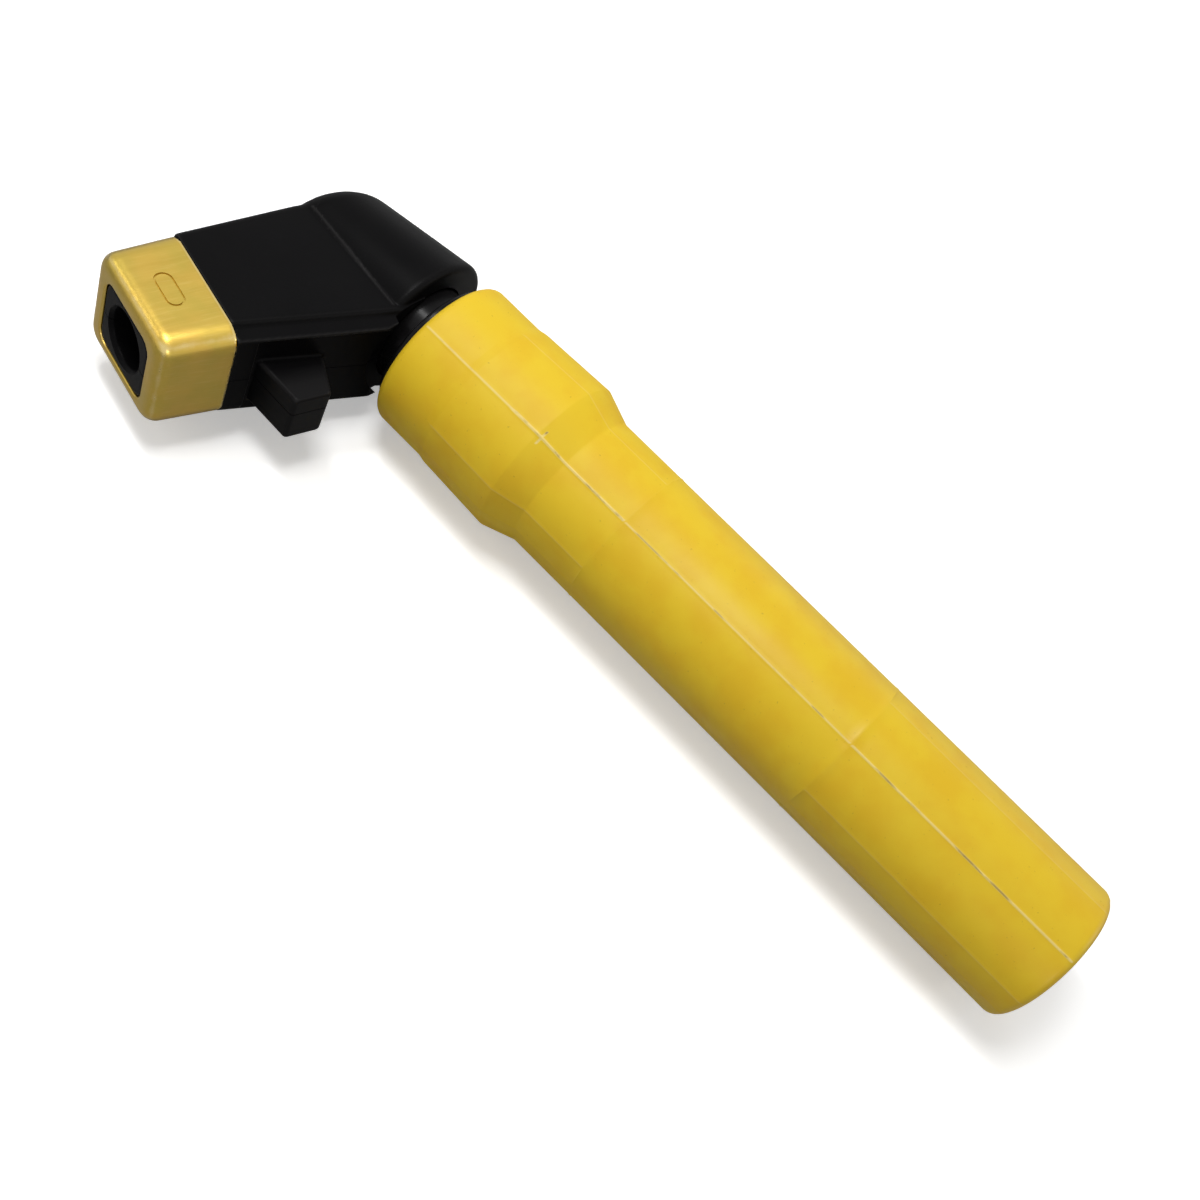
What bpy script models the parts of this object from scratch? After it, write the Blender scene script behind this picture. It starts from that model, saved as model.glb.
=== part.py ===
"""Twist-grip electrode holder for arc welding, built piece by piece as it comes apart on a bench.

The handle turns about X, which runs from the head at -X to the cable end at +X. The head's broad faces
look along Z and its nose points towards -Y. Turning the handle screws a spindle through the contact block,
so that a pressure pad closes on the electrode from one side and a fixed jaw backs it on the other.
"""

import math

import bmesh
import bpy
from mathutils import Matrix, Vector

# Sizes are in metres and angles in degrees. Places along the handle are measured from the sleeve's front
# rim: "ahead" counts towards the head, and any other place counts towards the cable.

# Clearances
SEAT_GAP = 0.0003
SLIDE_GAP = 0.0005
STOP_GAP = 0.0007
JOIN_DEPTH = 0.0005

# Grip sleeve
SLEEVE_LENGTH = 0.1992
SLEEVE_LIP_RADIUS = 0.0208
SLEEVE_BULGE_RADIUS = 0.02205
GRIP_RADIUS = 0.0190
SLEEVE_LIP_END = 0.0158
SLEEVE_BULGE_START = 0.0186
SLEEVE_BULGE_END = 0.0381
GRIP_START = 0.0468
SLEEVE_FRONT_ROUND = 0.0021
SLEEVE_REAR_ROUND = 0.0023
SLEEVE_TAIL_WALL = 0.0040
CABLE_INLET_RADIUS = 0.0105
FRONT_WITNESS_PLACE = 0.0648
REAR_WITNESS_PLACE = 0.1340
WITNESS_WIDTH = 0.0010
WITNESS_HEIGHT = 0.00025

# Insulating liner inside the sleeve
LINER_RADIUS = 0.0152
LINER_WALL = 0.0016
LINER_FLANGE_RADIUS = 0.0176
LINER_FLANGE_THICKNESS = 0.0017
CABLE_BUSH_LENGTH = 0.0060

# Neck collar, which slides in the head's mouth
COLLAR_REACH = 0.0125
COLLAR_WEB = 0.0050
NECK_SEAL_INSET = 0.0031
NECK_SEAL_WIDTH = 0.0014
NECK_SEAL_DEPTH = 0.0015

# Screw clamp
CLOSE_TRAVEL = 0.0045
OPEN_TRAVEL = 0.0010
SPINDLE_RADIUS = 0.0070
SPINDLE_NOSE_RADIUS = 0.0033
SPINDLE_NOSE_LENGTH = 0.0050
SPINDLE_GROOVE_RADIUS = 0.0022
SPINDLE_THREAD_IN_SOCKET = 0.0165
PAD_SHOULDER = 0.0010
PAD_REAR_AHEAD = 0.0085
PAD_PIN_RADIUS = 0.0009
PAD_PIN_AHEAD = 0.0108
PAD_PIN_LENGTH = 0.0120
JAW_GROOVE_DEPTH = 0.0012
LOCK_NUT_WALL = 0.0012
LOCK_NUT_CLEARANCE = 0.0010
LOCK_NUT_THICKNESS = 0.0040
WASHER_THICKNESS = 0.0014

# Contact block
BLOCK_HUB_WALL = 0.0037
BLOCK_TAIL_END = 0.0090
BARREL_RADIUS = 0.0085
BARREL_REACH = 0.0520
ELECTRODE_BORE_RADIUS = 0.0043
PLUG_LENGTH = 0.0040
PLUG_SLOT_WIDTH = 0.0016
PLUG_SLOT_DEPTH = 0.0012

# Cable socket
SOCKET_LENGTH = 0.0600
SOCKET_WEB = 0.0040
CABLE_BORE_RADIUS = 0.0085
CABLE_BORE_CHAMFER = 0.0012
CABLE_SCREW_RADIUS = 0.0032
CABLE_SCREW_LENGTH = 0.0068
CABLE_SCREW_KEY_FLATS = 0.0030
CABLE_SCREW_KEY_DEPTH = 0.0030
FRONT_SCREW_PLACE = 0.0560
REAR_SCREW_PLACE = 0.0720
DRIVE_PIN_RADIUS = 0.0020
DRIVE_PIN_PLACE = 0.0340

# Head
NOSE_ANGLE = 104.0
HEAD_CENTRE_AHEAD = 0.0217
SEAM_HEIGHT = -0.0010
BOSS_TOP_AHEAD = 0.0427
BOSS_END_WALL = 0.0057
BOSS_FOOT_RADIUS = 0.0199
BOSS_TOP_RADIUS = 0.0157
BOSS_TOP_ROUND = 0.0072
BOSS_FOOT_ROUND = 0.0010
BODY_HALF_THICKNESS = 0.0139
BODY_NOSE_HALF_WIDTH = 0.0156
BODY_NEAR_FLARE = 7.4
BODY_FAR_FLARE = 5.8
BODY_RIM_ROUND = 0.0024
BODY_FOOT_ROUND = 0.0020
BODY_RIM_HEIGHT = 0.0074
BODY_RIM_STEP = 0.0009
BODY_POST_LENGTH = 0.0048
DOWEL_RADIUS = 0.0012
DOWEL_LENGTH = 0.0120
DOWEL_NOSE_PLACE = 0.0400
DOWEL_NOSE_OFFSET = 0.0119
NOSE_BORE_RADIUS = 0.0068
NOSE_MOUTH_ROUND = 0.0008

# Lug under the head, for the thumb
LUG_MIDDLE = 0.0330
LUG_REACH = 0.0284
LUG_ROOT_FRONT = 0.0072
LUG_ROOT_REAR = 0.0086
LUG_TIP_FRONT = 0.0052
LUG_TIP_REAR = 0.0038
LUG_HEIGHT = -0.0027
LUG_HALF_THICKNESS = 0.0067
LUG_EDGE_ROUND = 0.0008
LUG_ROOT_RISE = 0.0022

# Nose cap
CAP_REAR = 0.0477
CAP_LENGTH = 0.0170
CAP_WALL = 0.0010
CAP_HALF_WIDTH = 0.0164
CAP_HALF_THICKNESS = 0.0142
CAP_SIDE_DRAFT = 4.0
CAP_FACE_DRAFT = 3.1
CAP_CORNER_ROUND = 0.0048
CAP_FRONT_ROUND = 0.0024
APERTURE_HALF_WIDTH = 0.0100
APERTURE_HALF_THICKNESS = 0.0085
APERTURE_ROUND = 0.0035
NOSE_FACE_INSET = 0.0003
DIMPLE_PLACE = 0.0085
DIMPLE_LENGTH = 0.0095
DIMPLE_WIDTH = 0.0042
DIMPLE_DEPTH = 0.0005

# Fineness of round forms
SLEEVE_STEPS = 56
ROUND_STEPS = 40
SMALL_STEPS = 20
FILLET_STEPS = 4
EDGE_STEPS = 2
SMOOTH_ANGLE = 32.0

# Where the nose's slant meets the handle's round forms, the default solver leaves open edges.
SLANTED_SOLVER = "MANIFOLD"

# Sizes that follow from the ones above
LINER_BORE = LINER_RADIUS - LINER_WALL
SLEEVE_BORE = LINER_RADIUS + SEAT_GAP
COLLAR_RADIUS = LINER_BORE - SEAT_GAP
THREAD_BORE = SPINDLE_RADIUS + SEAT_GAP
LOCK_NUT_FLATS = 2 * (THREAD_BORE + LOCK_NUT_WALL)
COLLAR_BORE = LOCK_NUT_FLATS / math.sqrt(3) + LOCK_NUT_CLEARANCE
MOUTH_RADIUS = COLLAR_RADIUS + SLIDE_GAP
MOUTH_END_AHEAD = COLLAR_REACH + CLOSE_TRAVEL + STOP_GAP
BLOCK_TAIL_RADIUS = COLLAR_BORE - SLIDE_GAP
PAD_RADIUS = SPINDLE_RADIUS + PAD_SHOULDER
GUIDE_BORE = PAD_RADIUS + SEAT_GAP
BLOCK_HUB_RADIUS = GUIDE_BORE + BLOCK_HUB_WALL
BLOCK_TOP_AHEAD = BOSS_TOP_AHEAD - BOSS_END_WALL
JAW_BACK_AHEAD = BLOCK_TOP_AHEAD - PLUG_LENGTH
GUIDE_END_AHEAD = PAD_REAR_AHEAD - OPEN_TRAVEL - SEAT_GAP
NUT_FRONT = BLOCK_TAIL_END + CLOSE_TRAVEL + STOP_GAP
WASHER_FRONT = NUT_FRONT + LOCK_NUT_THICKNESS + SEAT_GAP
WEB_FRONT = WASHER_FRONT + WASHER_THICKNESS + SEAT_GAP
SOCKET_FRONT = WEB_FRONT + COLLAR_WEB + SEAT_GAP
SOCKET_REAR = SOCKET_FRONT + SOCKET_LENGTH
SPINDLE_END = SOCKET_FRONT + SPINDLE_THREAD_IN_SOCKET
CABLE_BORE_FRONT = SPINDLE_END + SOCKET_WEB
TAIL_WALL_FRONT = SLEEVE_LENGTH - SLEEVE_TAIL_WALL
BUSH_REAR = TAIL_WALL_FRONT - SEAT_GAP
BUSH_FRONT = BUSH_REAR - CABLE_BUSH_LENGTH
LINER_END = BUSH_FRONT - SEAT_GAP
FLANGE_FRONT_AHEAD = SEAT_GAP + LINER_FLANGE_THICKNESS
BOSS_FOOT_AHEAD = FLANGE_FRONT_AHEAD + CLOSE_TRAVEL + STOP_GAP
NECK_SEAL_AHEAD = BOSS_FOOT_AHEAD + NECK_SEAL_INSET
BODY_END = CAP_REAR - SEAT_GAP
CAP_FRONT = CAP_REAR + CAP_LENGTH
NOSE_SHOULDER = CAP_FRONT - CAP_WALL - SEAT_GAP
NOSE_FACE = CAP_FRONT - NOSE_FACE_INSET

# The head's own frame: X along the electrode to the nose, Y towards the handle's side, Z as the part's.
HEAD = Matrix.Translation((-HEAD_CENTRE_AHEAD, 0, 0)) @ Matrix.Rotation(-math.radians(NOSE_ANGLE), 4, "Z")
# Round forms are turned by half a facet, so that no facet's edge lies in the head's middle plane.
HALF_FACET = Matrix.Rotation(math.pi / ROUND_STEPS, 4, "Z")
ALONG_X = Matrix.Rotation(math.radians(90), 4, "Y") @ HALF_FACET
ALONG_NOSE = HEAD @ ALONG_X


def clear_scene():
    for obj in list(bpy.data.objects):
        bpy.data.objects.remove(obj)


def new_collection(name):
    found = bpy.data.collections.new(name)
    bpy.context.scene.collection.children.link(found)
    return found


def new_material(name, colour, roughness, metallic):
    material = bpy.data.materials.new(name)
    material.use_nodes = True
    shader = material.node_tree.nodes["Principled BSDF"]
    shader.inputs["Base Color"].default_value = (*colour, 1)
    shader.inputs["Roughness"].default_value = roughness
    shader.inputs["Metallic"].default_value = metallic
    return material


def mesh_object(name, bm, place):
    """Puts a finished bmesh into the cutters' collection. Pieces of the holder move to their own later."""
    bmesh.ops.recalc_face_normals(bm, faces=bm.faces)
    mesh = bpy.data.meshes.new(name)
    bm.to_mesh(mesh)
    bm.free()
    obj = bpy.data.objects.new(name, mesh)
    obj.matrix_world = place
    obj.hide_render = True
    obj.display_type = "WIRE"
    CUTTERS.objects.link(obj)
    return obj


def bake(obj):
    """Replaces the object's mesh by what its modifiers make of it."""
    bpy.context.view_layer.update()
    graph = bpy.context.evaluated_depsgraph_get()
    finished = bpy.data.meshes.new_from_object(obj.evaluated_get(graph), depsgraph=graph)
    obj.modifiers.clear()
    obj.data = finished
    return obj


def combine(obj, operation, others, solver):
    for other in others:
        modifier = obj.modifiers.new(operation.lower(), "BOOLEAN")
        modifier.operation = operation
        modifier.solver = solver
        modifier.object = other
    return bake(obj)


def join(obj, *others, solver="EXACT"):
    return combine(obj, "UNION", others, solver)


def cut(obj, *others, solver="EXACT"):
    return combine(obj, "DIFFERENCE", others, solver)


def keep_inside(obj, other, solver="EXACT"):
    return combine(obj, "INTERSECT", [other], solver)


def copy_of(obj, name):
    twin = obj.copy()
    twin.data = obj.data.copy()
    twin.name = name
    CUTTERS.objects.link(twin)
    return twin


def turned(name, outer, inner=(), place=ALONG_X, steps=ROUND_STEPS):
    """A turned solid or ring. Both outlines are (place along the axis, radius) in rising order of place."""
    profile = [*reversed(outer), *inner]
    mesh = bpy.data.meshes.new(name)
    points = [(radius, 0, along) for along, radius in profile]
    edges = [(i, i + 1) for i in range(len(points) - 1)]
    if inner:
        edges.append((len(points) - 1, 0))
    mesh.from_pydata(points, edges, [])
    obj = bpy.data.objects.new(name, mesh)
    obj.matrix_world = place
    obj.hide_render = True
    obj.display_type = "WIRE"
    CUTTERS.objects.link(obj)
    screw = obj.modifiers.new("turn", "SCREW")
    screw.steps = steps
    screw.render_steps = steps
    screw.use_merge_vertices = True
    screw.merge_threshold = 0.00001
    return bake(obj)


def rod(name, start, end, radius, place=ALONG_X, steps=ROUND_STEPS):
    return turned(name, [(start, 0), (start, radius), (end, radius), (end, 0)], place=place, steps=steps)


def tube(name, start, end, radius, bore, place=ALONG_X, steps=ROUND_STEPS):
    return turned(name, [(start, radius), (end, radius)], [(start, bore), (end, bore)], place, steps)


def fillet(along, radius, centre_along, centre_radius, size):
    """Points of a quarter round between two directions from its centre, given as (along, radius) pairs."""
    points = []
    for step in range(FILLET_STEPS + 1):
        turn = math.radians(90) * step / FILLET_STEPS
        first, second = math.cos(turn) * size, math.sin(turn) * size
        points.append(
            (
                centre_along + along[0] * first + radius[0] * second,
                centre_radius + along[1] * first + radius[1] * second,
            )
        )
    return points


def section(along, y, z):
    """One end of a block: its place along X, then its least and most Y and its least and most Z."""
    return {"x": along, "y": y, "z": z}


def tapered_block(name, start, end, place, rounding=0.0, sides=(-1, 1), steps=FILLET_STEPS):
    """A block between two sections. Its edges along X are rounded on the named Z sides."""
    bm = bmesh.new()
    bmesh.ops.create_cube(bm, size=2)
    long_edges = []
    for edge in bm.edges:
        first, second = edge.verts
        if first.co.x != second.co.x and first.co.z in sides:
            long_edges.append(edge)
    for vert in bm.verts:
        at = start if vert.co.x < 0 else end
        vert.co = Vector((at["x"], at["y"][vert.co.y > 0], at["z"][vert.co.z > 0]))
    if rounding:
        bmesh.ops.bevel(
            bm, geom=long_edges, offset=rounding, segments=steps, profile=0.5, affect="EDGES"
        )
    return mesh_object(name, bm, place)


def round_ends(obj, x, rounding, segments):
    """Rounds the edges of the block's end face at this x in its own frame."""
    bm = bmesh.new()
    bm.from_mesh(obj.data)
    rim = [e for e in bm.edges if all(abs(v.co.x - x) < SEAT_GAP / 10 for v in e.verts)]
    bmesh.ops.bevel(bm, geom=rim, offset=rounding, segments=segments, profile=0.5, affect="EDGES")
    bm.to_mesh(obj.data)
    bm.free()
    return obj


def box(name, low, high, place):
    y, z = (low[1], high[1]), (low[2], high[2])
    return tapered_block(name, section(low[0], y, z), section(high[0], y, z), place)


def straight_block(name, start, end, half_width, half_thickness, rounding, place=HEAD):
    y, z = (-half_width, half_width), (-half_thickness, half_thickness)
    return tapered_block(name, section(start, y, z), section(end, y, z), place, rounding)


def slot_form(name, length, width, low, high, place):
    """A plate with round ends, its length along the place's Y and its thickness along Z."""
    reach = (length - width) / 2
    middle = box(name, (-width / 2, -reach, low), (width / 2, reach, high), place)
    for side in (-reach, reach):
        end_place = place @ Matrix.Translation((0, side, 0))
        join(middle, rod(name + "_end", low, high, width / 2, end_place, SMALL_STEPS))
    return middle


def hexagon(name, start, end, across_flats, place):
    return rod(name, start, end, across_flats / math.sqrt(3), place, steps=6)


def finish(obj, name, material, body):
    """Makes a solid one of the holder's pieces: named, coloured, shaded and carried by its body."""
    obj.name = name
    obj.data.name = name
    obj.hide_render = False
    obj.display_type = "TEXTURED"
    CUTTERS.objects.unlink(obj)
    PIECES.objects.link(obj)
    obj.data.materials.clear()
    obj.data.materials.append(material)
    obj.data.shade_smooth()
    obj.data.set_sharp_from_angle(angle=math.radians(SMOOTH_ANGLE))
    obj.parent = body
    return obj


def body_half_width(along, flare):
    """The head body's width from its middle to one side, which grows from the nose to the boss."""
    return BODY_NOSE_HALF_WIDTH + (BODY_END - along) * math.tan(math.radians(flare))


def body_block(name, z, step, rounding, side, start, end):
    """One layer of the head's body, with its sides set in by a step and one pair of edges rounded."""
    sections = []
    for along in (start, end):
        far = body_half_width(along, BODY_FAR_FLARE) - step
        near = body_half_width(along, BODY_NEAR_FLARE) - step
        sections.append(section(along, (-far, near), z))
    block = tapered_block(name, *sections, HEAD, rounding, (side,))
    sleeve_side = box(
        name + "_foot",
        (-BOSS_FOOT_AHEAD, -SLEEVE_BULGE_RADIUS - LUG_REACH, -BOSS_TOP_AHEAD),
        (BOSS_FOOT_AHEAD + LUG_REACH, LUG_REACH, BOSS_TOP_AHEAD),
        Matrix(),
    )
    return cut(block, sleeve_side)


def boss_form():
    """The cone-shaped end of the head, round the handle's axis."""
    length = BOSS_TOP_AHEAD - BOSS_FOOT_AHEAD
    slope = (BOSS_FOOT_RADIUS - BOSS_TOP_RADIUS) / length
    top_join = -BOSS_TOP_AHEAD + BOSS_TOP_ROUND
    top_radius = BOSS_TOP_RADIUS + slope * BOSS_TOP_ROUND
    outline = [(-BOSS_TOP_AHEAD, 0)]
    outline += fillet((-1, 0), (0, 1), top_join, top_radius - BOSS_TOP_ROUND, BOSS_TOP_ROUND)
    foot_join = -BOSS_FOOT_AHEAD - BOSS_FOOT_ROUND
    outline += fillet((0, 1), (1, 0), foot_join, BOSS_FOOT_RADIUS - BOSS_FOOT_ROUND, BOSS_FOOT_ROUND)
    outline += [(-BOSS_FOOT_AHEAD, 0)]
    return turned("boss_form", outline)


def lug_forms():
    """The moulded lug on the wall that faces the handle's side, and the slope at its root."""
    root = BODY_NOSE_HALF_WIDTH - BODY_FOOT_ROUND
    turn = Matrix.Rotation(math.radians(90), 4, "Z")
    place = HEAD @ Matrix.Translation((LUG_MIDDLE, 0, LUG_HEIGHT)) @ turn
    z = (-LUG_HALF_THICKNESS, LUG_HALF_THICKNESS)
    lug = tapered_block(
        "lug_form",
        section(root, (-LUG_ROOT_FRONT, LUG_ROOT_REAR), z),
        section(LUG_REACH, (-LUG_TIP_FRONT, LUG_TIP_REAR), z),
        place,
        LUG_EDGE_ROUND,
        steps=EDGE_STEPS,
    )
    round_ends(lug, LUG_REACH, LUG_EDGE_ROUND, EDGE_STEPS)
    wall = body_half_width(LUG_MIDDLE, BODY_NEAR_FLARE) - BODY_RIM_STEP
    slope_y = (LUG_EDGE_ROUND - LUG_ROOT_FRONT, LUG_ROOT_REAR - LUG_EDGE_ROUND)
    slope = tapered_block(
        "lug_slope",
        section(wall - LUG_ROOT_RISE, slope_y, (0, LUG_HALF_THICKNESS + 2 * LUG_ROOT_RISE)),
        section(wall + LUG_ROOT_RISE, slope_y, (0, LUG_HALF_THICKNESS - JOIN_DEPTH / 5)),
        place,
    )
    return lug, slope


def cap_half_size(along, rear_size, draft):
    """The cap's half width or thickness, which shrinks from its rear rim to its front by the draft."""
    return rear_size - (along - CAP_REAR) * math.tan(math.radians(draft))


def cap_form(name, inset, start, end):
    """The cap's outer form, or the hollow in it when inset by the wall."""
    sections = []
    for along in (start, end):
        width = cap_half_size(along, CAP_HALF_WIDTH, CAP_SIDE_DRAFT) - inset
        thickness = cap_half_size(along, CAP_HALF_THICKNESS, CAP_FACE_DRAFT) - inset
        sections.append(section(along, (-width, width), (-thickness, thickness)))
    form = tapered_block(name, *sections, HEAD, CAP_CORNER_ROUND - inset)
    return round_ends(form, end, CAP_FRONT_ROUND - inset, FILLET_STEPS)


def dimples(name, low, high, margin):
    """The pair of locking dimples, one on each broad face, as plates between two heights over that face."""
    along = CAP_REAR + DIMPLE_PLACE
    face = cap_half_size(along, CAP_HALF_THICKNESS, CAP_FACE_DRAFT)
    lean = Matrix.Translation((0, 0, face)) @ Matrix.Rotation(math.radians(CAP_FACE_DRAFT), 4, "Y")
    found = []
    for turn in (0, 180):
        flip = Matrix.Rotation(math.radians(turn), 4, "X")
        place = HEAD @ Matrix.Translation((along, 0, 0)) @ flip @ lean
        found.append(slot_form(name, DIMPLE_LENGTH + 2 * margin, DIMPLE_WIDTH + 2 * margin, low, high, place))
    return found


def head_form():
    """The whole outside of the head, before it is hollowed and parted into its two shells."""
    low, high = -BODY_HALF_THICKNESS, BODY_HALF_THICKNESS
    wall_heights = (low, BODY_RIM_HEIGHT + JOIN_DEPTH)
    wall_end = BODY_END - JOIN_DEPTH
    form = body_block("body_wall", wall_heights, BODY_RIM_STEP, BODY_FOOT_ROUND, -1, 0, wall_end)
    rim = body_block("body_rim", (BODY_RIM_HEIGHT, high), 0, BODY_RIM_ROUND, 1, 0, wall_end + JOIN_DEPTH / 5)
    post_heights = (low + JOIN_DEPTH / 5, high - BODY_RIM_ROUND)
    post_start = BODY_END - BODY_POST_LENGTH
    post = body_block("body_post", post_heights, 0, BODY_FOOT_ROUND, -1, post_start, BODY_END)
    nose_inset = CAP_WALL + SEAT_GAP
    nose = cap_form("nose_form", nose_inset, BODY_END - 2 * JOIN_DEPTH, NOSE_SHOULDER)
    face = straight_block(
        "nose_face",
        NOSE_SHOULDER - JOIN_DEPTH,
        NOSE_FACE,
        APERTURE_HALF_WIDTH - SEAT_GAP,
        APERTURE_HALF_THICKNESS - SEAT_GAP,
        APERTURE_ROUND - SEAT_GAP,
    )
    join(form, rim, post, boss_form(), nose, face, *lug_forms(), solver=SLANTED_SOLVER)
    pockets = dimples("pocket", -CAP_WALL - DIMPLE_DEPTH - SEAT_GAP, 0, SEAT_GAP)
    return cut(form, *pockets, solver=SLANTED_SOLVER)


def head_cavity():
    """The space that the contact block, the collar, the seal and the electrode need inside the shells."""
    hub = rod(
        "hub_space", -BLOCK_TOP_AHEAD - SEAT_GAP, JOIN_DEPTH - MOUTH_END_AHEAD, BLOCK_HUB_RADIUS + SEAT_GAP
    )
    mouth = rod("mouth_space", -MOUTH_END_AHEAD, BOSS_FOOT_AHEAD, MOUTH_RADIUS)
    seal_half = NECK_SEAL_WIDTH / 2 + SEAT_GAP
    groove = rod(
        "seal_space",
        -NECK_SEAL_AHEAD - seal_half,
        -NECK_SEAL_AHEAD + seal_half,
        MOUTH_RADIUS + NECK_SEAL_DEPTH,
    )
    barrel = rod("barrel_space", 0, BARREL_REACH + SEAT_GAP, BARREL_RADIUS + SEAT_GAP, ALONG_NOSE)
    bore = turned(
        "nose_space",
        [
            (BARREL_REACH - JOIN_DEPTH, 0),
            (BARREL_REACH - JOIN_DEPTH, NOSE_BORE_RADIUS),
            (NOSE_FACE - NOSE_MOUTH_ROUND / 2, NOSE_BORE_RADIUS),
            (NOSE_FACE + NOSE_MOUTH_ROUND / 2, NOSE_BORE_RADIUS + NOSE_MOUTH_ROUND / 2),
            (CAP_FRONT + CAP_WALL, NOSE_BORE_RADIUS + NOSE_MOUTH_ROUND / 2),
            (CAP_FRONT + CAP_WALL, 0),
        ],
        place=ALONG_NOSE,
    )
    return join(hub, mouth, groove, barrel, bore, solver=SLANTED_SOLVER)


def dowel_places():
    """Name and place of each dowel that lines the shells up."""
    nose = [
        ("dowel_nose_near", HEAD @ Matrix.Translation((DOWEL_NOSE_PLACE, DOWEL_NOSE_OFFSET, SEAM_HEIGHT))),
        ("dowel_nose_far", HEAD @ Matrix.Translation((DOWEL_NOSE_PLACE, -DOWEL_NOSE_OFFSET, SEAM_HEIGHT))),
    ]
    boss_wall = (BOSS_TOP_AHEAD + BLOCK_TOP_AHEAD + SEAT_GAP) / 2
    return [*nose, ("dowel_boss", Matrix.Translation((-boss_wall, 0, SEAM_HEIGHT)))]


def make_shells():
    form = cut(head_form(), head_cavity(), solver=SLANTED_SOLVER)
    half = DOWEL_LENGTH / 2
    deep = half + SEAT_GAP
    for name, place in dowel_places():
        hole = rod(name + "_hole", -deep, deep, DOWEL_RADIUS + SEAT_GAP, place, SMALL_STEPS)
        cut(form, hole, solver=SLANTED_SOLVER)
        finish(rod(name, -half, half, DOWEL_RADIUS, place, SMALL_STEPS), name, STEEL, HEAD_BODY)
    reach = SLEEVE_LENGTH
    for name, low, high in (
        ("head_shell_upper", SEAM_HEIGHT + SEAT_GAP / 2, reach),
        ("head_shell_lower", -reach, SEAM_HEIGHT - SEAT_GAP / 2),
    ):
        half_space = box(name + "_side", (-reach, -reach, low), (reach, reach, high), Matrix())
        shell = keep_inside(copy_of(form, name), half_space, SLANTED_SOLVER)
        finish(shell, name, BLACK_PLASTIC, HEAD_BODY)


def make_cap():
    cap = cap_form("cap", 0, CAP_REAR, CAP_FRONT)
    hollow = cap_form("cap_hollow", CAP_WALL, CAP_REAR - CAP_WALL, CAP_FRONT - CAP_WALL)
    window = straight_block(
        "cap_window",
        CAP_FRONT - 2 * CAP_WALL,
        CAP_FRONT + CAP_WALL,
        APERTURE_HALF_WIDTH,
        APERTURE_HALF_THICKNESS,
        APERTURE_ROUND,
    )
    cut(cap, hollow, window)
    join(cap, *dimples("dimple_inside", -CAP_WALL - DIMPLE_DEPTH, -CAP_WALL / 2, 0))
    cut(cap, *dimples("dimple_outside", -DIMPLE_DEPTH, CAP_WALL, -CAP_WALL / 2))
    finish(cap, "nose_cap", GOLD_PASSIVATED, HEAD_BODY)


def make_contact_block():
    hub = rod("block", -BLOCK_TOP_AHEAD, -MOUTH_END_AHEAD, BLOCK_HUB_RADIUS)
    tail = rod("block_tail", -MOUTH_END_AHEAD - JOIN_DEPTH, BLOCK_TAIL_END, BLOCK_TAIL_RADIUS)
    barrel = rod("block_barrel", 0, BARREL_REACH, BARREL_RADIUS, ALONG_NOSE)
    collar_space = tube(
        "collar_space", -MOUTH_END_AHEAD, BLOCK_TAIL_END, 2 * MOUTH_RADIUS, BLOCK_TAIL_RADIUS - JOIN_DEPTH
    )
    cut(barrel, collar_space, solver=SLANTED_SOLVER)
    join(hub, barrel, tail, solver=SLANTED_SOLVER)
    guide = rod("guide_bore", -BLOCK_TOP_AHEAD - JOIN_DEPTH, -GUIDE_END_AHEAD, GUIDE_BORE)
    thread = rod("thread_bore", -GUIDE_END_AHEAD - JOIN_DEPTH, BLOCK_TAIL_END + JOIN_DEPTH, THREAD_BORE)
    electrode = rod("electrode_bore", 0, BARREL_REACH + JOIN_DEPTH, ELECTRODE_BORE_RADIUS, ALONG_NOSE)
    cut(hub, join(guide, thread), electrode, solver=SLANTED_SOLVER)
    finish(hub, "contact_block", BRASS, HEAD_BODY)


def jaw_groove(side):
    """A square bar on its edge, whose lower half cuts the electrode's groove into a jaw's face."""
    across = ELECTRODE_BORE_RADIUS * side
    place = HEAD @ Matrix.Translation((0, across, 0)) @ Matrix.Rotation(math.radians(45), 4, "X")
    half = JAW_GROOVE_DEPTH / math.sqrt(2)
    return box("jaw_groove", (-GUIDE_BORE * 2, -half, -half), (GUIDE_BORE * 2, half, half), place)


def electrode_side(name, edge, side):
    """A half-space in the head's frame, bounded by a plane along the electrode at this distance from it."""
    reach = GUIDE_BORE * 4
    low, high = (-reach, edge) if side > 0 else (edge, reach)
    return box(name, (-reach, low, -reach), (reach, high, reach), HEAD)


def make_fixed_jaw():
    jaw = rod("jaw", -JAW_BACK_AHEAD, -HEAD_CENTRE_AHEAD, PAD_RADIUS)
    cut(jaw, electrode_side("jaw_face", -ELECTRODE_BORE_RADIUS, -1), jaw_groove(-1))
    finish(jaw, "fixed_jaw", COPPER, HEAD_BODY)
    plug = rod("plug", -BLOCK_TOP_AHEAD, -JAW_BACK_AHEAD - SEAT_GAP, PAD_RADIUS)
    slot = box(
        "plug_slot",
        (-BLOCK_TOP_AHEAD - PLUG_SLOT_DEPTH, -GUIDE_BORE, -PLUG_SLOT_WIDTH / 2),
        (-BLOCK_TOP_AHEAD + PLUG_SLOT_DEPTH, GUIDE_BORE, PLUG_SLOT_WIDTH / 2),
        Matrix(),
    )
    finish(cut(plug, slot), "jaw_plug", BRASS, HEAD_BODY)


def make_neck_seal():
    half = NECK_SEAL_WIDTH / 2
    seal = tube(
        "seal",
        -NECK_SEAL_AHEAD - half,
        -NECK_SEAL_AHEAD + half,
        MOUTH_RADIUS + NECK_SEAL_DEPTH - SEAT_GAP,
        COLLAR_RADIUS + SEAT_GAP,
    )
    finish(seal, "neck_seal", BLACK_RUBBER, HEAD_BODY)


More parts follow.
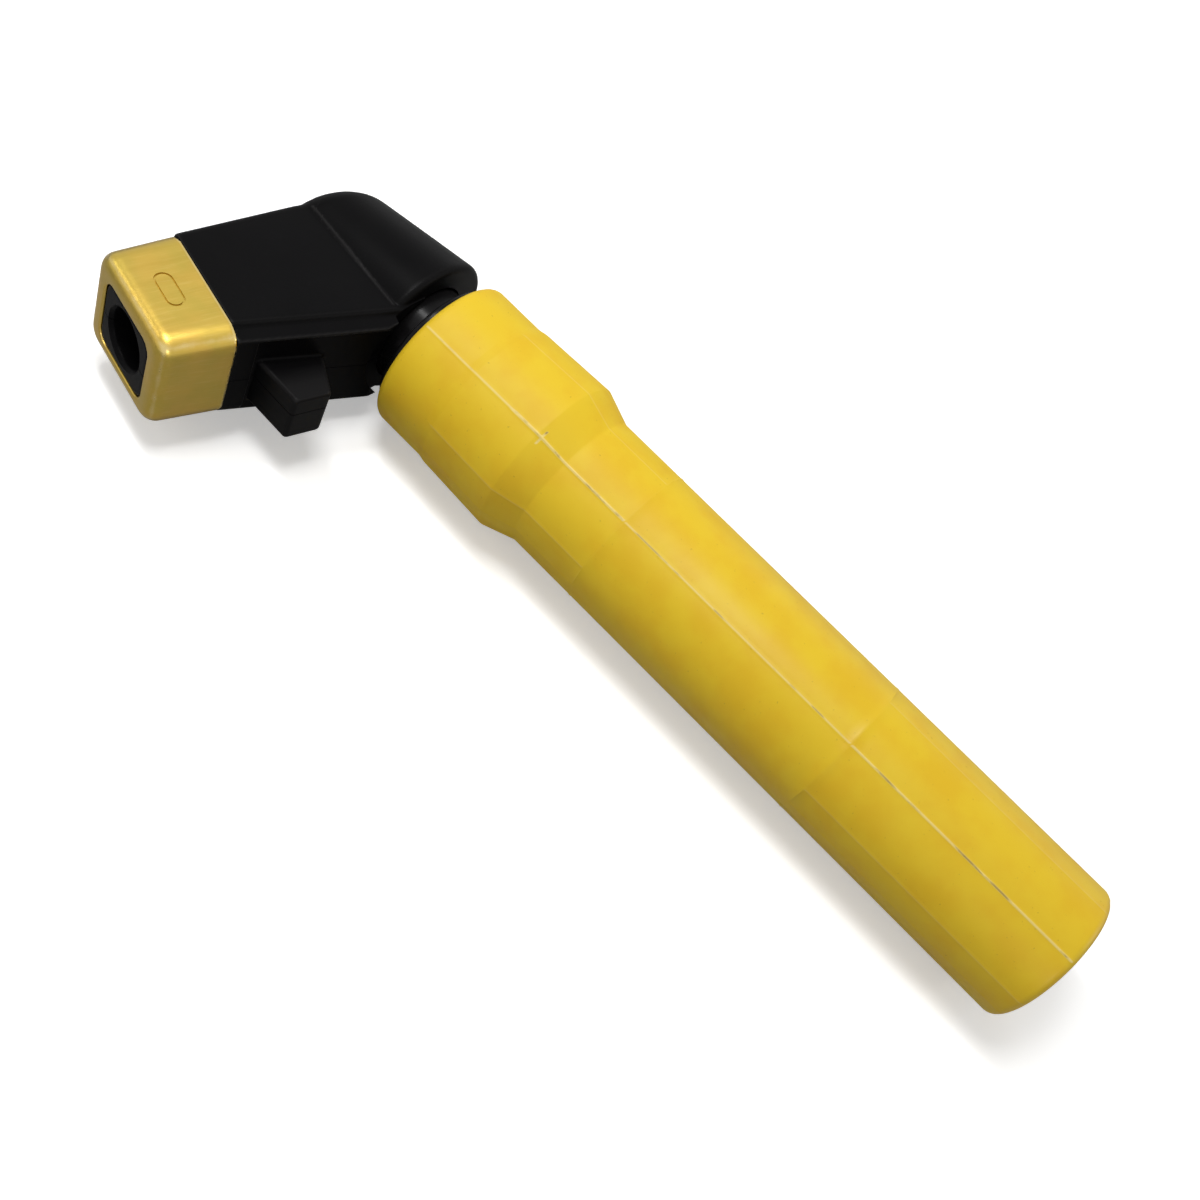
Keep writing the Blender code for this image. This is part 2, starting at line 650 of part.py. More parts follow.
def pad_pin(name, side, radius, length):
    """A cross pin along Y that rides in the spindle nose's groove."""
    offset = SPINDLE_GROOVE_RADIUS + SEAT_GAP / 2 + PAD_PIN_RADIUS
    place = Matrix.Translation((-PAD_PIN_AHEAD, 0, side * offset)) @ Matrix.Rotation(math.radians(90), 4, "X")
    return rod(name, -length / 2, length / 2, radius, place, SMALL_STEPS)


def make_pressure_pad():
    pad = rod("pad", -HEAD_CENTRE_AHEAD - PAD_RADIUS, -PAD_REAR_AHEAD, PAD_RADIUS)
    socket = rod(
        "pad_socket",
        -PAD_REAR_AHEAD + SEAT_GAP - SPINDLE_NOSE_LENGTH - SEAT_GAP,
        -PAD_REAR_AHEAD + JOIN_DEPTH,
        SPINDLE_NOSE_RADIUS + SEAT_GAP,
    )
    pad_face = electrode_side("pad_face", ELECTRODE_BORE_RADIUS + SEAT_GAP, 1)
    cut(pad, pad_face, jaw_groove(1), socket, solver=SLANTED_SOLVER)
    for name, side in (("pad_pin_upper", 1), ("pad_pin_lower", -1)):
        hole = pad_pin(name + "_hole", side, PAD_PIN_RADIUS + SEAT_GAP / 2, 3 * PAD_RADIUS)
        cut(pad, hole, solver=SLANTED_SOLVER)
        finish(pad_pin(name, side, PAD_PIN_RADIUS, PAD_PIN_LENGTH), name, STEEL, PLUNGER_BODY)
    finish(pad, "pressure_pad", COPPER, PLUNGER_BODY)


def make_spindle():
    shoulder = -PAD_REAR_AHEAD + SEAT_GAP
    half_groove = PAD_PIN_RADIUS + SEAT_GAP / 2
    outline = [
        (shoulder - SPINDLE_NOSE_LENGTH, 0),
        (shoulder - SPINDLE_NOSE_LENGTH, SPINDLE_NOSE_RADIUS),
        (-PAD_PIN_AHEAD - half_groove, SPINDLE_NOSE_RADIUS),
        (-PAD_PIN_AHEAD - half_groove, SPINDLE_GROOVE_RADIUS),
        (-PAD_PIN_AHEAD + half_groove, SPINDLE_GROOVE_RADIUS),
        (-PAD_PIN_AHEAD + half_groove, SPINDLE_NOSE_RADIUS),
        (shoulder, SPINDLE_NOSE_RADIUS),
        (shoulder, SPINDLE_RADIUS),
        (SPINDLE_END, SPINDLE_RADIUS),
        (SPINDLE_END, 0),
    ]
    return turned("spindle", outline)


def make_neck_collar():
    collar = turned(
        "collar",
        [(-COLLAR_REACH, COLLAR_RADIUS), (WEB_FRONT + COLLAR_WEB, COLLAR_RADIUS)],
        [
            (-COLLAR_REACH, COLLAR_BORE),
            (WEB_FRONT, COLLAR_BORE),
            (WEB_FRONT, THREAD_BORE),
            (WEB_FRONT + COLLAR_WEB, THREAD_BORE),
        ],
    )
    finish(collar, "neck_collar", BLACK_PLASTIC, HANDLE_BODY)


def make_lock_nut():
    nut = hexagon("nut", NUT_FRONT, NUT_FRONT + LOCK_NUT_THICKNESS, LOCK_NUT_FLATS, ALONG_X)
    bore = rod("nut_bore", NUT_FRONT - JOIN_DEPTH, WASHER_FRONT, THREAD_BORE)
    finish(cut(nut, bore), "lock_nut", STEEL, HANDLE_BODY)
    washer = tube("washer", WASHER_FRONT, WASHER_FRONT + WASHER_THICKNESS, BLOCK_TAIL_RADIUS, THREAD_BORE)
    finish(washer, "lock_washer", STEEL, HANDLE_BODY)


def make_liner():
    return turned(
        "liner",
        [
            (-FLANGE_FRONT_AHEAD, LINER_FLANGE_RADIUS),
            (-SEAT_GAP, LINER_FLANGE_RADIUS),
            (-SEAT_GAP, LINER_RADIUS),
            (LINER_END, LINER_RADIUS),
        ],
        [(-FLANGE_FRONT_AHEAD, LINER_BORE), (LINER_END, LINER_BORE)],
    )


def cable_screws():
    """Name and place of each cable screw, with its axis up the place's Z."""
    return [
        ("cable_screw_front", Matrix.Translation((FRONT_SCREW_PLACE, 0, 0))),
        ("cable_screw_rear", Matrix.Translation((REAR_SCREW_PLACE, 0, 0))),
    ]


def make_cable_socket():
    socket_radius = COLLAR_RADIUS
    socket = turned(
        "socket",
        [(SOCKET_FRONT, socket_radius), (SOCKET_REAR, socket_radius)],
        [
            (SOCKET_FRONT, THREAD_BORE),
            (SPINDLE_END + SEAT_GAP, THREAD_BORE),
            (CABLE_BORE_FRONT, CABLE_BORE_RADIUS),
            (SOCKET_REAR - CABLE_BORE_CHAMFER, CABLE_BORE_RADIUS),
            (SOCKET_REAR, CABLE_BORE_RADIUS + CABLE_BORE_CHAMFER),
        ],
    )
    top = socket_radius - SEAT_GAP
    for name, place in cable_screws():
        hole = rod(name + "_hole", 0, 2 * socket_radius, CABLE_SCREW_RADIUS + SEAT_GAP, place, SMALL_STEPS)
        cut(socket, hole)
        screw = rod(name, top - CABLE_SCREW_LENGTH, top, CABLE_SCREW_RADIUS, place, SMALL_STEPS)
        key_end = top - CABLE_SCREW_KEY_DEPTH
        key = hexagon(name + "_key", key_end, top + JOIN_DEPTH, CABLE_SCREW_KEY_FLATS, place)
        finish(cut(screw, key), name, STEEL, HANDLE_BODY)
    return socket


def make_drive_train():
    """Liner, socket and spindle, with the pin that drives them as one."""
    place = Matrix.Translation((DRIVE_PIN_PLACE, 0, 0))
    half = LINER_RADIUS - SEAT_GAP
    hole = rod("pin_hole", -2 * half, 2 * half, DRIVE_PIN_RADIUS + SEAT_GAP, place, SMALL_STEPS)
    finish(cut(make_liner(), hole), "liner_tube", BLACK_FIBRE, HANDLE_BODY)
    finish(cut(make_cable_socket(), hole), "cable_socket", BRASS, HANDLE_BODY)
    finish(cut(make_spindle(), hole), "clamp_spindle", BRASS, HANDLE_BODY)
    finish(rod("pin", -half, half, DRIVE_PIN_RADIUS, place, SMALL_STEPS), "drive_pin", STEEL, HANDLE_BODY)


def witness_ring(place, radius):
    """The fine raised ring that the joint between two mould blocks leaves."""
    half = WITNESS_WIDTH / 2
    return [(place - half, radius), (place, radius + WITNESS_HEIGHT), (place + half, radius)]


def make_sleeve():
    front_centre = SLEEVE_LIP_RADIUS - SLEEVE_FRONT_ROUND
    rear_centre = GRIP_RADIUS - SLEEVE_REAR_ROUND
    outer = fillet((-1, 0), (0, 1), SLEEVE_FRONT_ROUND, front_centre, SLEEVE_FRONT_ROUND)
    outer += [
        (SLEEVE_LIP_END, SLEEVE_LIP_RADIUS),
        (SLEEVE_BULGE_START, SLEEVE_BULGE_RADIUS),
        (SLEEVE_BULGE_END, SLEEVE_BULGE_RADIUS),
        (GRIP_START, GRIP_RADIUS),
        *witness_ring(FRONT_WITNESS_PLACE, GRIP_RADIUS),
        *witness_ring(REAR_WITNESS_PLACE, GRIP_RADIUS),
    ]
    outer += fillet((0, 1), (1, 0), SLEEVE_LENGTH - SLEEVE_REAR_ROUND, rear_centre, SLEEVE_REAR_ROUND)
    inner = [
        (0, SLEEVE_BORE),
        (TAIL_WALL_FRONT, SLEEVE_BORE),
        (TAIL_WALL_FRONT, CABLE_INLET_RADIUS),
        (SLEEVE_LENGTH, CABLE_INLET_RADIUS),
    ]
    sleeve = turned("sleeve", outer, inner, steps=SLEEVE_STEPS)
    finish(sleeve, "grip_sleeve", YELLOW_RUBBER, HANDLE_BODY)
    bush = tube("bush", BUSH_FRONT, BUSH_REAR, LINER_RADIUS, CABLE_INLET_RADIUS)
    finish(bush, "cable_bush", BLACK_FIBRE, HANDLE_BODY)


def new_body(name, parent=None):
    """An empty on the handle's axis that carries one rigid body's pieces."""
    empty = bpy.data.objects.new(name, None)
    empty.parent = parent
    PIECES.objects.link(empty)
    return empty


def stand_on_origin(root):
    """Moves the holder so that the origin is under the middle of its box."""
    bpy.context.view_layer.update()
    corners = []
    for piece in PIECES.objects:
        if piece.type == "MESH":
            corners += [piece.matrix_world @ vert.co for vert in piece.data.vertices]
    low = Vector([min(corner[i] for corner in corners) for i in range(3)])
    high = Vector([max(corner[i] for corner in corners) for i in range(3)])
    root.location = Vector((-(low.x + high.x) / 2, -(low.y + high.y) / 2, -low.z))
    bpy.context.view_layer.update()
    print("handle axis passes through", tuple(round(1000 * v, 3) for v in root.location), "mm")


clear_scene()
PIECES = new_collection("electrode_holder")
CUTTERS = new_collection("cutters")

BLACK_PLASTIC = new_material("black_moulding", (0.016, 0.015, 0.016), 0.38, 0)
BLACK_FIBRE = new_material("black_fibre", (0.02, 0.02, 0.02), 0.3, 0)
BLACK_RUBBER = new_material("black_rubber", (0.012, 0.012, 0.012), 0.7, 0)
YELLOW_RUBBER = new_material("yellow_rubber", (0.78, 0.53, 0.03), 0.5, 0)
GOLD_PASSIVATED = new_material("gold_passivated", (0.62, 0.45, 0.15), 0.3, 1)
BRASS = new_material("brass", (0.72, 0.5, 0.2), 0.3, 1)
COPPER = new_material("copper", (0.8, 0.38, 0.22), 0.35, 1)
STEEL = new_material("zinc_steel", (0.55, 0.55, 0.55), 0.35, 1)

HEAD_BODY = new_body("head")
PLUNGER_BODY = new_body("plunger", HEAD_BODY)
HANDLE_BODY = new_body("handle", PLUNGER_BODY)

make_shells()
make_cap()
make_contact_block()
make_fixed_jaw()
make_neck_seal()
make_pressure_pad()
make_neck_collar()
make_lock_nut()
make_drive_train()
make_sleeve()
stand_on_origin(HEAD_BODY)
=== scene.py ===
"""Looks for a twist-grip welding electrode holder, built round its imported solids.

The moulded head, the pressed nose cap, the rubber grip and the turned neck pieces are modelled afresh, finer
than the solids that they stand for. Every other solid keeps its shape and gets a finish of its own.
"""

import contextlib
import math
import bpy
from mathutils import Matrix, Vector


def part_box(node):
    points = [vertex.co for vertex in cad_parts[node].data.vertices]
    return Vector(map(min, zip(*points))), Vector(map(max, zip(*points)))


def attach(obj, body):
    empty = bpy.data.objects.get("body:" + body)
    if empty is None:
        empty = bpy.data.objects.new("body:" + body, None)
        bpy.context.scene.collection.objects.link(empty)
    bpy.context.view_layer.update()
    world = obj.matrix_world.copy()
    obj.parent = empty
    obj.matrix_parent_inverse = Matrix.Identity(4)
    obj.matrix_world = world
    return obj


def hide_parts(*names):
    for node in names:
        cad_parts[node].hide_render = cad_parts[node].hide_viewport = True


bl_info = {
    "name": "Electrode holder",
    "version": (1, 0, 0),
    "blender": (4, 5, 0),
    "location": "View3D > Sidebar > Holder",
    "description": "Models and finishes the visible pieces of a twist-grip electrode holder",
    "category": "Object",
}

import bmesh
import bpy
from bpy.props import FloatProperty, FloatVectorProperty, IntProperty, PointerProperty
from mathutils import Matrix, Vector

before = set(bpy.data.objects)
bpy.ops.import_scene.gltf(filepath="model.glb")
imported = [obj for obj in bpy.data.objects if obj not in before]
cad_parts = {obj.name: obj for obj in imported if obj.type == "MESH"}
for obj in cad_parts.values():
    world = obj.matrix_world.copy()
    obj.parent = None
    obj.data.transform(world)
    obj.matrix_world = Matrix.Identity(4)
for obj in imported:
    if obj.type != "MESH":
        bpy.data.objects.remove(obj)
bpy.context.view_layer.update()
SLEEVE_LOW, SLEEVE_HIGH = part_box("grip_sleeve")
# The handle's axis runs along X through this point, which is in the plane of the sleeve's front rim.
AXIS = Vector((SLEEVE_LOW.x, (SLEEVE_LOW.y + SLEEVE_HIGH.y) / 2, (SLEEVE_LOW.z + SLEEVE_HIGH.z) / 2))
# Clearance between two pieces that sit against each other.
SEAT_GAP = 0.0003
# Points closer than this are one.
WELD = 0.000004
# How far off its plane a point of an end or edge may lie.
HAIR = 0.00001
# How far a shape reaches past what it cuts or into what it joins.
PAST = 0.002
# Edges that bend by more than this stay sharp in the shading.
SHARP = math.radians(34)


def size(name, description, default):
    """A length in metres."""
    return FloatProperty(name=name, description=description, default=default, unit="LENGTH", precision=5)


def angle(name, description, degrees):
    """An angle, given in degrees."""
    return FloatProperty(name=name, description=description, default=math.radians(degrees), subtype="ANGLE")


def colour(name, description, default):
    """A colour of three linear parts."""
    return FloatVectorProperty(
        name=name, description=description, default=default, size=3, min=0, max=1, subtype="COLOR"
    )


class GripSettings(bpy.types.PropertyGroup):
    """The yellow rubber sleeve and the turned pieces inside its front."""

    lip_radius: size("Lip radius", "Radius of the step at the front of the sleeve", 0.0208)
    lip_end: size("Lip end", "Where the front step starts to rise to the guard", 0.0150)
    shoulder_radius: size("Shoulder radius", "Radius of the guard right behind the lip", 0.02122)
    bulge_radius: size("Bulge radius", "Largest radius of the guard", 0.02202)
    bulge_start: size("Bulge start", "Where the guard starts", 0.0172)
    bulge_end: size("Bulge end", "Where the guard starts to fall to the grip", 0.0375)
    grip_radius: size("Grip radius", "Radius of the part that the hand holds", 0.0190)
    grip_start: size("Grip start", "Where the grip reaches its own radius", 0.0460)
    front_witness: size("Front mould line", "Place of the ring left between the first two mould blocks", 0.0648)
    rear_witness: size("Rear mould line", "Place of the ring left between the last two mould blocks", 0.1340)
    line_height: size("Line height", "Height of the mould lines over the rubber", 0.00022)
    parting_angle: angle("Parting angle", "Turn of the main parting line about the handle's axis", 126.0)
    block_angle: angle("Block angle", "Turn from the parting line to the edge of a mould block", 45.0)
    flat_angle: angle("Flat angle", "Turn from the parting line to the far edge of the flat strip", 67.5)
    steps: IntProperty(name="Steps", description="Faces round the sleeve", default=240, min=48)
    yellow: colour("Yellow", "Colour of the rubber", (0.79, 0.545, 0.018))
    deep_yellow: colour("Deep yellow", "Colour of the rubber's darker patches", (0.74, 0.44, 0.009))
    # The grime colour paints dirt and also shade along the mould lines.
    grime_and_shade: colour("Grime", "Colour of the dirt beside the mould lines", (0.30, 0.19, 0.04))


class HeadSettings(bpy.types.PropertyGroup):
    """The two-part black moulding."""

    nose_angle: angle("Nose angle", "Turn of the nose away from the handle's own direction", 104.0)
    centre_ahead: size("Centre ahead", "Where the electrode crosses the handle's axis, ahead of the sleeve", 0.0217)
    half_thickness: size("Half thickness", "Half the distance between the broad faces", 0.0139)
    nose_half_width: size("Nose half width", "Half the body's width behind the cap", 0.0156)
    near_flare: angle("Near flare", "Slope of the rim that faces the handle's side", 7.4)
    wall_flare: angle("Wall flare", "Slope of the recessed wall under that rim", 8.5)
    far_flare: angle("Far flare", "Slope of the other wall", 5.8)
    rim_height: size("Rim height", "Lower edge of the raised band under the broad face", 0.0109)
    rim_step: size("Rim step", "How far the band stands out of the wall", 0.0013)
    plate_inset: size("Plate inset", "How far the broad face's edge stands back from the band", 0.0034)
    plate_round: size("Plate round", "Rounding of the broad face's edge over the band", 0.0013)
    band_top: size("Band top", "Height of the band's inner edge", 0.0134)
    band_fall: size("Band fall", "Fall of the band from the broad face's edge to its own", 0.0008)
    back_round: size("Back round", "Rounding of the broad face's other long edge", 0.0018)
    post_length: size("Post length", "Length of the raised post behind the cap", 0.0048)
    post_foot: size("Post foot", "Depth of the post under the electrode's line", 0.0124)
    post_round: size("Post round", "Rounding of the post's lower edges", 0.0022)
    foot_rise: size("Foot rise", "Rise of the lower face from the boss to the nose", 0.0006)
    foot_round: size("Foot round", "Rounding of the lower long edges", 0.0010)
    boss_foot_ahead: size("Boss foot ahead", "Place of the boss's open end", 0.0072)
    body_foot_ahead: size("Body foot ahead", "Place of the body's end beside the boss", 0.0050)
    foot_clearance: size("Foot clearance", "Radius that the body's end leaves free for the neck", 0.0180)
    boss_top_ahead: size("Boss top ahead", "Place of the boss's closed end", 0.0431)
    boss_foot_radius: size("Boss foot radius", "Radius of the boss at its open end", 0.01944)
    boss_top_radius: size("Boss top radius", "Radius of the boss at its closed end", 0.0165)
    boss_top_round: size("Boss top round", "Rounding of the boss's closed end", 0.0060)
    boss_foot_round: size("Boss foot round", "Rounding of the boss's open end", 0.0016)
    boss_lean: angle("Boss lean", "Turn of the closed end towards the line of the nose", 15.5)
    boss_foot_offset: size("Boss foot offset", "How far the open end's outside stands away from the nose", 0.0019)
    boss_top_offset: size("Boss top offset", "How far the closed end's outside stands towards the nose", 0.00025)
    lug_middle: size("Lug middle", "Place of the thumb lug along the nose", 0.0330)
    lug_reach: size("Lug reach", "Reach of the lug from the electrode's line", 0.0282)
    lug_height: size("Lug height", "Height of the lug's middle", -0.0027)
    lug_half_thickness: size("Lug half thickness", "Half the lug's thickness", 0.0067)
    seam_height: size("Seam height", "Height of the joint between the two halves", -0.0010)
    seam_gap: size("Seam gap", "Width of the joint between the two halves", 0.00016)
    skin: size("Skin", "Edge length of the moulding's faces", 0.00030)
    black: colour("Black", "Colour of the moulding", (0.0027, 0.0026, 0.0028))


class CapSettings(bpy.types.PropertyGroup):
    """The pressed metal cap on the nose."""

    rear: size("Rear", "Place of the rear rim along the nose", 0.0477)
    length: size("Length", "Length of the cap", 0.0170)
    wall: size("Wall", "Thickness of the sheet", 0.0010)
    half_width: size("Half width", "Half the width at the rear rim", 0.0163)
    half_thickness: size("Half thickness", "Half the thickness at the rear rim", 0.0142)
    side_draft: angle("Side draft", "Slope of the narrow sides", 4.0)
    face_draft: angle("Face draft", "Slope of the upper broad side", 3.1)
    foot_rear: size("Foot rear", "Depth of the lower broad side at the rear rim", 0.0129)
    foot_front: size("Foot front", "Depth of the lower broad side at the front", 0.0133)
    corner_round: size("Corner round", "Rounding of the edges along the nose", 0.0048)
    front_round: size("Front round", "Rounding of the front rim", 0.0031)
    window_half_width: size("Window half width", "Half the width of the window", 0.0100)
    window_half_thickness: size("Window half thickness", "Half the height of the window", 0.0089)
    window_drop: size("Window drop", "How far the window's middle lies under the electrode's line", 0.0004)
    window_round: size("Window round", "Rounding of the window's corners", 0.0031)
    dimple_place: size("Dimple place", "Middle of the locking dimple, from the rear rim", 0.0083)
    skin: size("Skin", "Edge length of the sheet's faces", 0.00030)
    gold: colour("Gold", "Colour of the plating", (0.55, 0.365, 0.065))
    olive: colour("Olive", "Colour of the plating's greener patches", (0.44, 0.340, 0.055))
    # The bare colour paints worn plating and also a highlight on the edges and the rear rim.
    bare: colour("Bare", "Colour of the plating where it is rubbed", (0.80, 0.66, 0.34))


class StageSettings(bpy.types.PropertyGroup):
    """Floor, light and camera."""

    lens: FloatProperty(
        name="Lens", description="Focal length on a 36 mm frame", default=39.606, subtype="DISTANCE_CAMERA"
    )
    floor: colour("Floor", "Colour of the floor as the camera sees it", (0.95, 0.95, 0.95))
    bounce: colour("Bounce", "Colour that the floor throws back onto the object", (0.38, 0.38, 0.38))


class HolderSettings(bpy.types.PropertyGroup):
    """All settings of the holder."""

    grip: PointerProperty(type=GripSettings)
    head: PointerProperty(type=HeadSettings)
    cap: PointerProperty(type=CapSettings)
    stage: PointerProperty(type=StageSettings)


def start(add, name, **settings):
    """Adds a primitive with nothing else selected."""
    bpy.ops.object.select_all(action="DESELECT")
    add(**settings)
    obj = bpy.context.object
    obj.name = name
    obj.data.name = name
    return obj


def take(obj):
    """Makes this the one selected object."""
    bpy.ops.object.select_all(action="DESELECT")
    obj.select_set(True)
    bpy.context.view_layer.objects.active = obj


@contextlib.contextmanager
def editing(obj):
    """Edit mode on this object, with all of its mesh selected at the start."""
    take(obj)
    bpy.ops.object.mode_set(mode="EDIT")
    bpy.ops.mesh.select_mode(type="VERT")
    bpy.ops.mesh.select_all(action="SELECT")
    yield
    bpy.ops.object.mode_set(mode="OBJECT")


def choose(obj, kind, test):
    """Selects, in edit mode, the vertices, edges or faces that pass the test."""
    bpy.ops.mesh.select_mode(type=kind)
    bpy.ops.mesh.select_all(action="DESELECT")
    bm = bmesh.from_edit_mesh(obj.data)
    found = {"VERT": bm.verts, "EDGE": bm.edges, "FACE": bm.faces}[kind]
    for item in found:
        if test(item):
            item.select_set(True)
    bm.select_flush_mode()
    bmesh.update_edit_mesh(obj.data)


def apply_modifier(obj, kind, **settings):
    """Adds a modifier with these settings and applies it."""
    take(obj)
    modifier = obj.modifiers.new(kind.lower(), kind)
    for key, value in settings.items():
        setattr(modifier, key, value)
    bpy.ops.object.modifier_apply(modifier=modifier.name)
    if not obj.data.polygons:
        raise RuntimeError(f"{obj.name} has no faces left")


def carve(obj, operation, *tools):
    """Cuts or joins with each tool in turn, which is then removed."""
    for tool in tools:
        apply_modifier(obj, "BOOLEAN", operation=operation, solver="MANIFOLD", object=tool)
        bpy.data.objects.remove(tool)


def soft_outline(corners, longest=0.004):
    """The outline through (place, radius, rounding) corners, with its corners rounded and long runs divided."""
    straight, arc_step, least_steps = math.radians(89.5), math.radians(12), 3
    points = [Vector(corners[0][:2])]
    for before, here, after in zip(corners, corners[1:], corners[2:]):
        corner, rounding = Vector(here[:2]), here[2]
        back = (Vector(before[:2]) - corner).normalized()
        ahead = (Vector(after[:2]) - corner).normalized()
        half = math.acos(max(-1, min(1, back.dot(ahead)))) / 2
        if not rounding or half > straight:
            points.append(corner)
            continue
        middle = corner + (back + ahead).normalized() * rounding / math.sin(half)
        first = corner + back * rounding / math.tan(half) - middle
        last = corner + ahead * rounding / math.tan(half) - middle
        steps = max(least_steps, round((math.pi - 2 * half) / arc_step))
        for step in range(steps + 1):
            arm = first.lerp(last, step / steps)
            points.append(middle + arm.normalized() * rounding)
    points.append(Vector(corners[-1][:2]))
    divided = [points[0]]
    for point in points[1:]:
        run = point - divided[-1]
        parts = max(1, math.ceil(run.length / longest))
        begin = divided[-1].copy()
        for part in range(parts):
            divided.append(begin + run * (part + 1) / parts)
    return divided


def spin(name, outline, place, steps, turn=0.0):
    """Spins an outline of (along, radius) points about the place's X axis."""
    side = Vector((0, math.cos(turn), math.sin(turn)))
    points = [place @ (Vector((along, 0, 0)) + side * radius) for along, radius in outline]
    obj = start(bpy.ops.mesh.primitive_plane_add, name, size=0.001)
    with editing(obj):
        bpy.ops.mesh.merge(type="CENTER")
        bpy.ops.transform.translate(value=points[0])
        for here, after in zip(points, points[1:]):
            bpy.ops.mesh.extrude_region_move(TRANSFORM_OT_translate={"value": after - here})
        bpy.ops.mesh.select_all(action="SELECT")
        axis = place.to_3x3() @ Vector((1, 0, 0))
        bpy.ops.mesh.spin(steps=steps, angle=math.tau, center=place.translation, axis=axis)
        bpy.ops.mesh.select_all(action="SELECT")
        bpy.ops.mesh.remove_doubles(threshold=WELD)
        bpy.ops.mesh.normals_make_consistent(inside=False)
    return obj


def rod(name, begin, end, radius, place, steps=96):
    """A plain round bar along the place's X axis, to cut with."""
    return spin(name, [(begin, 0), (begin, radius), (end, radius), (end, 0)], place, steps)


def block(name, ends, rounding=0.0, sides=(-1, 1), segments=8):
    """A block between two ends, each (x, least y, most y, least z, most z), with its edges along X rounded."""
    obj = start(bpy.ops.mesh.primitive_cube_add, name, size=2)
    with editing(obj):
        if rounding:
            choose(obj, "EDGE", lambda e: along_x(e) and e.verts[0].co.z in sides)
            long_edges = [e.index for e in bmesh.from_edit_mesh(obj.data).edges if e.select]
        for sign, (x, low_y, high_y, low_z, high_z) in zip((-1, 1), ends):
            choose(obj, "VERT", lambda v: v.co.x == sign)
            spread = (1, (high_y - low_y) / 2, (high_z - low_z) / 2)
            bpy.ops.transform.resize(value=spread, center_override=(sign, 0, 0))
            move = (x - sign, (low_y + high_y) / 2, (low_z + high_z) / 2)
            bpy.ops.transform.translate(value=move)
        if rounding:
            choose(obj, "EDGE", lambda e: e.index in long_edges)
            bpy.ops.mesh.bevel(offset=rounding, segments=segments, profile=0.5, affect="EDGES")
    return obj


def along_x(edge):
    """Whether an edge leads from one end of a block to the other."""
    first, second = edge.verts
    return first.co.x != second.co.x


def round_end(obj, x, rounding, segments=8):
    """Rounds the edges of the block's end face at this x."""
    with editing(obj):
        choose(obj, "EDGE", lambda e: all(abs(v.co.x - x) < 2 * HAIR for v in e.verts))
        bpy.ops.mesh.bevel(offset=rounding, segments=segments, profile=0.5, affect="EDGES")


def smooth_zone(obj, repeat, test=None):
    """Softens the vertices that pass the test, or all of them."""
    with editing(obj):
        choose(obj, "VERT", test or (lambda v: True))
        bpy.ops.mesh.vertices_smooth(factor=0.5, repeat=repeat)


def put(obj, place):
    """Moves the mesh itself to its place, so that the object stays at the origin."""
    take(obj)
    obj.matrix_world = place
    bpy.ops.object.transform_apply(location=True, rotation=True, scale=True)


def hand_over(obj, body, slot, material, *nodes):
    """Finishes a piece: its shading, finish, body and the solids that it stands for. The slot is not used."""
    take(obj)
    bpy.ops.object.shade_smooth_by_angle(angle=SHARP)
    obj.data.materials.clear()
    obj.data.materials.append(material)
    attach(obj, body)
    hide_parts(*nodes)


class Value:
    """A shader socket that takes part in Python arithmetic."""

    def __init__(self, tree, socket):
        self.tree = tree
        self.socket = socket

    def math(self, operation, first, second):
        node = self.tree.nodes.new("ShaderNodeMath")
        node.operation = operation
        feed(self.tree, node.inputs[0], first)
        feed(self.tree, node.inputs[1], second)
        return Value(self.tree, node.outputs[0])

    def __add__(self, other):
        return self.math("ADD", self, other)

    def __radd__(self, other):
        return self.math("ADD", other, self)

    def __sub__(self, other):
        return self.math("SUBTRACT", self, other)

    def __rsub__(self, other):
        return self.math("SUBTRACT", other, self)

    def __mul__(self, other):
        return self.math("MULTIPLY", self, other)

    def __rmul__(self, other):
        return self.math("MULTIPLY", other, self)


def feed(tree, socket, value):
    """Links a value to a socket, or sets the socket to a plain number, colour or vector."""
    if isinstance(value, Value):
        tree.links.new(value.socket, socket)
    else:
        socket.default_value = value


